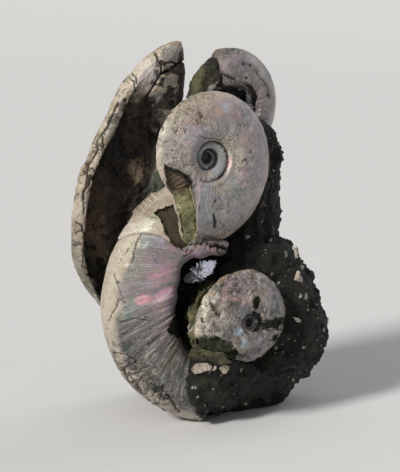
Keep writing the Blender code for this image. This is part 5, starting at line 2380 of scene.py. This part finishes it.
LARGE_MARKS = Marks(
    hollows=(
        Hollow(Area((
            (154, 212.5), (158, 210), (166, 207.5), (180, 203), (188, 215), (190, 243),
            (183.5, 250.5), (178.5, 248.5), (173, 244), (166.8, 233.5), (161.8, 222.5), (157.5, 214.5),
        )), 2.8, (0.036, 0.02, 0.012), 0, 0, 1.3, 0.5, 0),
        Hollow(Area((
            (207, 243.6), (213, 243.4), (219, 245.8), (226.5, 248.2), (229, 250.2), (222, 250.6),
            (215, 247.8), (208, 246.2),
        )), 2.4, Tint.BLACK, 0, 0, 0.8),
        Hollow(Area((
            (174, 317), (180, 318), (180, 338), (173, 335), (169, 331), (169.5, 324),
        )), 3.5, Tint.BLACK, 0, 0, 1.4),
    ),
    # The near-white patches and the bright pink ones near (142, 300) and (163, 296) are painted highlights over the
    # pink nacre; the dark patch at (150, 398) is painted shade on the low flank.
    patches=(
        Patch(Tint.BROWN, 155, 217, 11, 6, 0.8, 40, 0.8), Patch((0.12, 0.085, 0.06), 170, 240, 5.5, 9, 0.7, 25, 0.6),
        Patch(Tint.TAN, 148, 214, 12, 6, 0.5, -20, 0.8), Patch(Tint.GREY, 138, 268, 14, 30, 0.5, 10),
        Patch(Tint.LILAC, 163, 262, 17, 26, 0.5, 20), Patch(Tint.PINK, 170, 258, 9, 14, 0.75, -25),
        Patch(Tint.PINK, 158, 276, 14, 12, 0.6, -4), Patch(Tint.ROSE, 156, 276.5, 11, 1.2, 0.4, -4),
        Patch((1, 0.55, 0.64), 142, 300, 7.5, 5, 1, -12, 0.7), Patch((1, 0.57, 0.68), 163, 296, 11.5, 6, 1, -30, 0.7),
        Patch((1, 0.94, 0.94), 166, 293.5, 6.5, 2.2, 1, -35), Patch((1, 0.92, 0.92), 159, 300.5, 6.5, 1.8, 0.95, -35),
        Patch(Tint.PINK, 157, 308, 13, 6, 0.55, -28), Patch(Tint.LILAC, 172, 303, 8, 12, 0.8, -20),
        Patch(Tint.BLUE, 134, 318, 20, 13, 0.5, -20), Patch(Tint.TEAL, 138, 345, 22, 24, 0.45, -35),
        Patch(Tint.SKY, 165, 377, 8, 9, 0.35), Patch(Tint.PINK, 163, 345, 13, 32, 0.4, 10),
        Patch(Tint.TAN, 176, 352, 11, 26, 0.5, 8), Patch(Tint.TAN, 150, 375, 24, 22, 0.35, 25),
        Patch((0.13, 0.1, 0.08), 150, 398, 34, 15, 0.5, 25), Patch((0.16, 0.14, 0.13), 118, 372, 12, 26, 0.35, -35),
        Patch(Tint.BROWN, 186, 352, 5, 32, 0.55), Patch(Tint.BLACK, 172.5, 328, 4.5, 8, 0.95, 20, 0.4),
        Patch(Tint.PINK, 204, 251, 22, 7, 0.9, -12), Patch(Tint.LILAC, 198, 254, 9, 4, 0.6, -30),
        Patch(Tint.PINK, 223, 241, 11, 5, 0.9, -10), Patch(Tint.BROWN, 200, 241, 6, 3, 0.7, 10),
        Patch(Tint.CREAM, 117, 310, 7, 14, 0.6, 12), Patch(Tint.BONE, 121, 306, 4, 9, 0.8, 20),
    ),
    # Laid last: three brown stains by the window, then the pink nacre near (143, 300) and (163, 297) brightened into
    # painted highlights.
    late_patches=(
        Patch((0.11, 0.065, 0.042), 151.5, 214, 6.5, 3.8, 0.9, 15, 0.9),
        Patch((0.26, 0.19, 0.135), 161, 205.5, 17, 5.5, 0.7, -14, 0.9),
        Patch((0.3, 0.22, 0.16), 143, 213, 10, 5, 0.5, -30, 0.9),
        Patch((0.8, 0.36, 0.44), 143, 300, 8.5, 4, 0.42, -12, 1),
        Patch((0.88, 0.46, 0.6), 162.5, 297, 11.5, 4.8, 0.45, -36, 1),
        Patch((0.92, 0.8, 0.86), 165, 295.5, 8.5, 1.3, 0.45, -38, 0.8),
        Patch((0.92, 0.7, 0.76), 163, 301, 7.5, 1.1, 0.4, -38, 0.8),
    ),
    cracks=(
        Crack(((142, 234), (135, 241), (129, 248), (122, 257), (118, 264)), 0.7, 0.4, 0.85),
        Crack(((140, 235), (136, 244), (134, 256), (129, 271)), 0.9, 0.6),
        Crack(((114, 274), (117, 283), (120, 291), (125, 302)), 0.8, 0.5, 0.9),
        Crack(((109, 321), (112, 314), (116, 307), (119, 298), (125, 304)), 1, 0.8),
        Crack(((119, 323), (128, 321), (136, 318), (143, 320), (150, 321)), 0.8, 0.5, 0.9),
        Crack(((125, 304), (122, 314), (117, 320)), 0.8, 0.5, 0.8),
        Crack(((106, 328), (113, 332), (123, 336)), 0.5, 0.4, 0.7),
        Crack(((120, 354), (126, 344), (135, 334)), 0.6, 0.5, 0.8),
        Crack(((112, 353), (124, 354), (131, 358), (138, 364)), 1, 0.9),
        Crack(((121, 367), (125, 376), (129, 384), (138, 393)), 1.5, 1.5),
        Crack(((129, 373), (134, 381), (131, 388)), 1.3, 1.2), Crack(((120, 380), (128, 384), (134, 381)), 1.2, 1.1),
        Crack(((137, 386), (140, 394), (147, 399), (152, 405)), 1.3, 1.2),
        Crack(((151, 385), (157, 389), (163, 387), (160, 395), (165, 401), (172, 398)), 2.1, 1.9),
        Crack(((166, 394), (172, 402), (176, 409), (180, 413)), 1.8, 1.6),
        Crack(((106, 300), (111, 297), (114, 288)), 0.4, 0.3, 0.6),
        Crack(((188, 247), (192, 245.2), (197, 244.2), (202, 244.6), (207, 244.8), (213, 244.6)), 1.5, 1.6),
        Crack(((184, 257), (188, 254), (192, 252), (195, 249), (199, 246.5), (204, 244.8)), 1, 1),
        Crack(((186, 251.5), (191, 248.5), (196, 246.8)), 0.9, 0.8),
        Crack(((205, 250), (207, 247), (206, 244.5)), 0.7, 0.6, 0.8),
        Crack(((213, 244.2), (217, 246.5), (221, 248.5), (226, 249.5)), 1.8, 1.8),
        Crack(((217, 249), (218.5, 254), (221, 256)), 1, 1),
        Crack(((205, 240.5), (211, 241), (217, 241.5), (222, 243), (229, 243.5)), 0.7, 0.5, 0.8),
    ),
    pits=(
        (117.3, 282, 1.5, 0.6), (135.5, 318, 0.8, 0.4), (146, 317.5, 0.8, 0.4), (129.5, 270.5, 0.9, 0.5),
        (156.5, 390.5, 4, 1.8), (124, 372, 1.4, 0.8), (168, 396, 1.8, 1), (187, 250, 0.9, 0.6),
    ),
)

UPPER_MARKS = Marks(
    hollows=(
        Hollow(Area((
            (164.5, 164.8), (171, 168.8), (179, 170.2), (185.5, 174.5), (191.5, 182.5), (192.5, 195),
            (188, 206), (176, 209), (170.5, 196), (167, 184), (165, 173),
        )), 4.6, (0.105, 0.07, 0.046), 4.6, 62, 0.45, 0.35),
        # A black strip painted as the shadow along the window's top edge.
        Hollow(Area((
            (164.5, 164.5), (171, 168), (179, 169.5), (185.5, 174), (192, 182), (191, 184),
            (186, 180.5), (181.5, 174.5), (174, 171.5), (167, 168.5),
        )), 2, Tint.BLACK, 0, 0, 0.8),
        Hollow(Area(((213.4, 214), (214.4, 214), (215.6, 225), (214.6, 228), (213, 225))), 1.4, Tint.BLACK),
    ),
    # The bone and rose spots at (248.5, 133), (244, 141), (229.5, 158), (229, 163) and (200, 189.5) are painted
    # highlights.
    patches=(
        Patch(Tint.CREAM, 176, 118, 24, 22, 0.45, -35), Patch(Tint.BONE, 159, 145, 5, 26, 0.6, 8),
        Patch(Tint.GREY, 170, 140, 8, 12, 0.35, 20), Patch(Tint.TAN, 236, 118, 16, 10, 0.35, 30),
        Patch(Tint.TAN, 253, 142, 6, 18, 0.35, -12), Patch(Tint.TAN, 200, 110, 16, 12, 0.35),
        Patch(Tint.BROWN, 201, 116, 5, 5, 0.6), Patch(Tint.BROWN, 198, 122.5, 3, 3, 0.5),
        Patch(Tint.CREAM, 215, 105, 18, 12, 0.55), Patch(Tint.SKY, 226, 107, 4, 8, 0.45),
        Patch(Tint.PEARL, 184, 150, 20, 16, 0.6), Patch(Tint.LILAC, 198, 134, 16, 9, 0.5),
        Patch(Tint.TEAL, 222, 128, 16, 9, 0.35), Patch(Tint.PINK, 247, 138, 9, 15, 0.55, 25),
        Patch(Tint.BONE, 248.5, 133, 2.5, 7, 0.8, 30), Patch(Tint.ROSE, 244, 141, 4.5, 2.5, 0.75, -25),
        Patch(Tint.SAGE, 233, 148, 7, 6, 0.35), Patch(Tint.SAGE, 228, 196, 12, 9, 0.4, -30),
        Patch(Tint.SKY, 217, 168, 5, 7, 0.45, 30), Patch(Tint.CREAM, 206, 174, 9, 3, 0.55, 10),
        Patch(Tint.LILAC, 254, 158, 10, 18, 0.45), Patch(Tint.PINK, 236, 108, 12, 8, 0.4, 35),
        Patch(Tint.BONE, 229.5, 158, 2.6, 13, 0.85, 8), Patch(Tint.ROSE, 229, 163, 1.8, 6, 0.7, 12),
        Patch(Tint.TEAL, 236, 184, 12, 14, 0.45), Patch(Tint.PINK, 243, 182, 6, 8, 0.4),
        Patch(Tint.ROSE, 200, 189.5, 5, 2, 0.8, -8), Patch(Tint.PINK, 242, 176, 5, 5, 0.5),
        Patch(Tint.BLUE, 208, 208, 13, 22, 0.45), Patch(Tint.LILAC, 228, 214, 14, 16, 0.4),
        Patch(Tint.GREY, 222, 226, 18, 9, 0.45), Patch(Tint.CREAM, 166, 186, 4, 16, 0.8, -22, 0.4),
    ),
    cracks=(
        Crack(((172.7, 127.5), (175.4, 132.5), (177.2, 129)), 0.9, 0.8),
        Crack(((184, 128), (185.8, 132.5), (187.5, 129)), 0.9, 0.8), Crack(((162.3, 125.5), (162.8, 130)), 1, 0.7),
        Crack(((199, 112), (203, 115.5), (200.5, 118.5)), 1.2, 0.8), Crack(((197, 120), (199, 123.5)), 0.8, 0.5),
        Crack(((209, 139), (216, 138.6), (222, 141)), 0.6, 0.4, 0.8),
        Crack(((166, 165), (181, 166), (194, 164)), 0.5, 0.35, 0.7),
        # Painted shadow at the right end of the window's top edge.
        Crack(((186, 176), (190, 178), (193, 182)), 1.9, 1.8),
        Crack(((213.8, 214), (214.4, 222), (215, 228)), 1.3, 1.3), Crack(((214, 200), (214, 214)), 0.4, 0.3, 0.5),
        Crack(((215, 221), (221, 224), (226, 228)), 0.6, 0.4, 0.8),
        Crack(((204, 236), (213, 238), (222, 236), (231, 230)), 0.8, 0.6),
        Crack(((249, 150), (252, 153), (254, 157)), 0.6, 0.4), Crack(((196, 96), (197.5, 101)), 0.7, 0.5),
        Crack(((203, 192), (209, 193), (214, 197)), 0.4, 0.3, 0.6),
        Crack(((180, 150), (188, 146), (196, 140)), 0.35, 0.2, 0.4),
        Crack(((178, 160), (179, 150), (185, 140)), 0.35, 0.2, 0.4),
        Crack(((199, 136), (206, 138), (217, 139), (222, 144)), 0.6, 0.4, 0.8),
    ),
    pits=(
        (181.5, 128, 0.8, 0.5), (166, 141, 0.8, 0.5), (214, 107.5, 0.8, 0.4), (240.8, 125, 0.7, 0.4),
        (215, 201, 1.2, 0.8), (232.5, 192.5, 0.6, 0.4), (245.5, 125.5, 0.7, 0.4), (255, 145, 0.7, 0.4),
        (250, 152, 0.9, 0.5), (214.6, 227, 1.2, 0.8),
    ),
)

SMALL_MARKS = Marks(
    hollows=(
        Hollow(Area((
            (190, 338.5), (198, 337), (204, 336), (209, 338.5), (216, 336.8), (222.5, 340),
            (230, 344), (237, 351.5), (234, 360), (190, 362),
        )), 2.6, (0.017, 0.017, 0.007), 0, 0, 1.6, 2.2),
        Hollow(Area((
            (260.5, 322.5), (267, 321.5), (274, 319), (286, 317.5), (285.5, 323), (280, 324.5),
            (278, 330.5), (273, 327.5), (267, 329.5), (262, 326.5),
        )), 2.2, (0.018, 0.016, 0.01), 0, 0, 1.2, 1.6),
        Hollow(Area(((272.2, 341), (273.5, 335.5), (278.5, 333.5), (277, 339.5))), 1.8, Tint.BLACK),
        Hollow(Area(((210.5, 302), (213, 303.5), (220.5, 316.5), (218, 317.5), (213, 311))), 1.4, Tint.BROWN),
        Hollow(Area(((253.5, 299), (258.5, 296), (261, 301), (257.5, 309.5), (253.5, 306.5))), 2, Tint.BLACK),
        Hollow(Area((
            (252, 311.5), (258, 313.5), (262, 319), (261.5, 327), (257.5, 331.5), (251.5, 332),
            (256.5, 327), (258, 320.5), (255.5, 315.5),
        )), 1.8, Tint.BLACK),
    ),
    # The pale blue spots at (238, 332) and (244.5, 341) are painted highlights.
    patches=(
        Patch(Tint.BROWN, 226, 288, 13, 12, 0.4, -40), Patch(Tint.BROWN, 262, 296, 6, 12, 0.35, 20),
        Patch(Tint.RUST, 216, 281, 13, 4, 0.7, -35), Patch(Tint.TAN, 211, 290, 9, 8, 0.6, -50),
        Patch(Tint.PINK, 233, 293, 15, 11, 0.55), Patch(Tint.ROSE, 235, 301, 4, 3, 0.5),
        Patch(Tint.LILAC, 243, 282, 16, 8, 0.45), Patch(Tint.CREAM, 203, 322, 7, 18, 0.85, 8),
        Patch((0.86, 0.76, 0.62), 201, 326, 5.5, 11, 0.8), Patch(Tint.UMBER, 216, 309, 6, 3, 0.55, 55),
        Patch(Tint.BLUE, 241, 312, 8, 7, 0.65), Patch((0.55, 0.85, 1), 238, 332, 4.5, 4.5, 0.95, 0, 0.8),
        Patch((0.6, 0.8, 0.9), 244.5, 341, 4, 8, 0.75, 15, 0.8), Patch(Tint.PEARL, 222, 325, 12, 10, 0.6),
        Patch(Tint.PINK, 262, 341, 12, 9, 0.45), Patch(Tint.LILAC, 272, 300, 8, 16, 0.45),
        Patch(Tint.GREY, 273, 340, 8, 8, 0.5), Patch(Tint.PINK, 248, 321, 6, 7, 0.4),
        Patch(Tint.TAN, 240, 352, 10, 4, 0.5, 12), Patch(Tint.MUD, 205, 331, 3, 3, 0.7),
    ),
    cracks=(
        Crack(((247, 272), (251, 281), (253, 289), (249, 298), (246, 306)), 0.6, 0.5, 0.6),
        Crack(((262, 322), (268, 320), (274, 321), (282, 320)), 0.9, 0.8),
        Crack(((262, 329), (269, 331), (276, 329), (283, 330)), 0.9, 0.8), Crack(((272, 321), (275, 329)), 0.8, 0.6),
        Crack(((210, 301), (214, 308), (220, 317)), 0.8, 0.6),
        Crack(((220, 303), (216, 312), (221, 320)), 0.6, 0.4, 0.7),
        Crack(((205, 318), (213, 325), (221, 331), (226, 338)), 0.5, 0.4, 0.7),
        Crack(((199, 338), (205, 336), (209, 339), (216, 337), (223, 340), (232, 343), (238, 353)), 1, 1),
        Crack(((238, 353), (243, 357), (250, 359)), 0.8, 0.6), Crack(((255, 296), (258, 304), (256, 310)), 1, 0.8),
        Crack(((262, 330), (264, 338), (270, 341)), 0.6, 0.4, 0.7), Crack(((246, 345), (248, 356)), 0.4, 0.3, 0.5),
        Crack(((252, 345), (255, 357)), 0.4, 0.3, 0.5), Crack(((257, 343), (262, 354)), 0.4, 0.3, 0.5),
    ),
    pits=(
        (256, 302.5, 2.2, 1.2), (254, 291, 1, 0.6), (258, 297, 1.2, 0.8), (255.5, 308, 1.2, 0.7),
        (275, 338, 2.8, 1.3), (278.5, 323.5, 2.2, 1), (267, 324, 1.6, 0.8), (212, 284, 0.9, 0.5),
        (274, 290, 1, 0.5), (250, 285, 0.8, 0.4),
    ),
)

BACK_MARKS = Marks(
    hollows=(
        Hollow(Area((
            (217, 91), (223, 88), (229, 85.8), (234, 87.8), (239, 91), (243, 89), (246.3, 93.3),
            (245.5, 100), (240, 108), (222, 98),
        )), 3.4, Tint.BLACK, 0, 0, 0.7, 1),
        # The umber crescent is painted shadow on the navel's wall.
        Hollow(Area((
            (243.5, 83.2), (250, 84.5), (256, 93), (257, 99), (253.5, 105.5), (250.5, 102.5),
            (252.2, 95.5), (248.5, 88),
        )), 2.4, Tint.UMBER, 0, 0, 0.4),
    ),
    # The bone strip at (273, 108) is a painted highlight along the right keel.
    patches=(
        Patch(Tint.PINK, 236, 66, 16, 14, 0.55), Patch(Tint.LILAC, 228, 70, 10, 12, 0.45),
        Patch(Tint.BONE, 222, 60, 7, 8, 0.6), Patch(Tint.CREAM, 262, 72, 9, 22, 0.5, -25),
        Patch(Tint.BONE, 273, 108, 4.5, 24, 0.75, -6), Patch(Tint.PINK, 262, 105, 8, 18, 0.45, -10),
        Patch(Tint.OLIVE, 224, 52, 10, 3, 0.8, -12), Patch(Tint.BLACK, 235, 49.5, 7, 1.5, 0.8),
        Patch(Tint.TAN, 268, 92, 3.5, 9, 0.6, -25), Patch(Tint.BONE, 247, 92, 2, 9, 0.8, -18, 0.4),
    ),
    cracks=(
        Crack(((217, 60), (217.5, 66), (220, 71), (226, 75), (234, 79)), 1.9, 1.8),
        Crack(((207, 80), (213, 83), (219, 86.5)), 1.2, 1),
        Crack(((256, 71), (260, 77), (265, 84), (269, 92), (269, 98)), 0.8, 0.6),
        Crack(((247, 52), (247, 62), (249, 76), (246, 83)), 0.5, 0.4, 0.5),
        Crack(((221, 90), (229, 86), (238, 88), (245, 95)), 1, 0.8),
    ),
    pits=(
        (243.5, 64, 1.3, 0.8), (250.3, 65.5, 1.5, 0.9), (246, 78, 1.4, 0.9), (236.5, 81, 1.2, 0.7),
        (238, 52.5, 1.2, 0.6), (268, 95.5, 1.9, 0.8),
    ),
)

BACK_FILL_MARKS = Marks(
    patches=(
        Patch(Tint.BLACK, 212, 64, 9, 6, 0.9, 30), Patch(Tint.UMBER, 214, 77, 8, 7, 0.6),
        Patch(Tint.MOSS, 198, 80, 5, 14, 0.5, 15), Patch(Tint.PEARL, 214, 86, 8, 2.6, 0.9, -38, 0.3),
    ),
    cracks=(Crack(((206, 78), (212, 81), (218, 85)), 0.9, 0.7),),
)


def coiled_shells() -> list[CoiledShell]:
    """The three coiled shells with their finishes.

    Returns:
        The upper, the small and the back shell.
    """
    return [
        CoiledShell(
            name="upper_ammonite", stand=Stand((3.1, -18.0, 171.7), 31.0), sense=-1, mouth=264.0, radius=56.3,
            growth=1.92, seam=0.25, wall=0.05, half_thickness=0.25, lead=31.0, marks=UPPER_MARKS,
            nacre=Nacre("upper_nacre"), stations=230, outer_columns=48, inner_columns=24, corner=(0.065, 0.6, 0.10),
            tone=0.92, stain=0.42, blotch=0.16,
        ),
        CoiledShell(
            name="small_ammonite", stand=Stand((28.3, -25.0, 69.7), 30.0), sense=1, mouth=196.0, radius=37.7,
            growth=1.62, seam=0.16, wall=0.05, half_thickness=0.27, lead=48.0, marks=SMALL_MARKS,
            nacre=Nacre("small_nacre", lines=110.0, ribs=34.0, crackle=4.5), stations=190, outer_columns=58,
            inner_columns=14, tone=0.58, stain=0.70, wrinkle=0.65, ring=0.6, blotch=0.60,
        ),
        CoiledShell(
            name="back_ammonite", stand=Stand((21.9, 26.0, 197.7), 35.0), sense=1, mouth=112.0, radius=40.6,
            growth=1.75, seam=0.37, wall=0.06, half_thickness=0.24, lead=24.0, marks=BACK_MARKS,
            nacre=Nacre("back_nacre", lines=110.0, ribs=34.0, crackle=5.0), stations=150, outer_columns=38,
            inner_columns=18, tone=0.58, stain=0.55, ring=0.25, blotch=0.25,
        ),
    ]


def main() -> None:
    """Build the pieces in order, then the room and the camera."""
    logging.basicConfig(level=logging.INFO, format="%(name)s: %(message)s")
    shells = coiled_shells()
    large_nacre = Nacre("large_nacre", lines=620.0, thread=1.0, ribs=0.0, crackle=7.0)
    OpenWhorl(LARGE_MARKS, large_nacre, tuple(shells[:2])).build()
    for shell in shells:
        shell.build()
    HollowPiece().build()
    Rock().build()
    MudTongue().build()
    MouthFill("small_mouth_fill", Tint.OLIVE, Tint.SILT).build()
    MouthFill(
        "back_mouth_fill", (0.020, 0.019, 0.008), (0.055, 0.055, 0.022),
        pale=(0.10, 0.097, 0.042), marks=BACK_FILL_MARKS,
    ).build()
    for letter, tint in CHIPS.items():
        ShellChip("shell_chip_" + letter, tint).build()
    CrystalCrust().build()
    Studio().build()
    VIEW.make_camera()


if __name__ == "__main__":
    main()
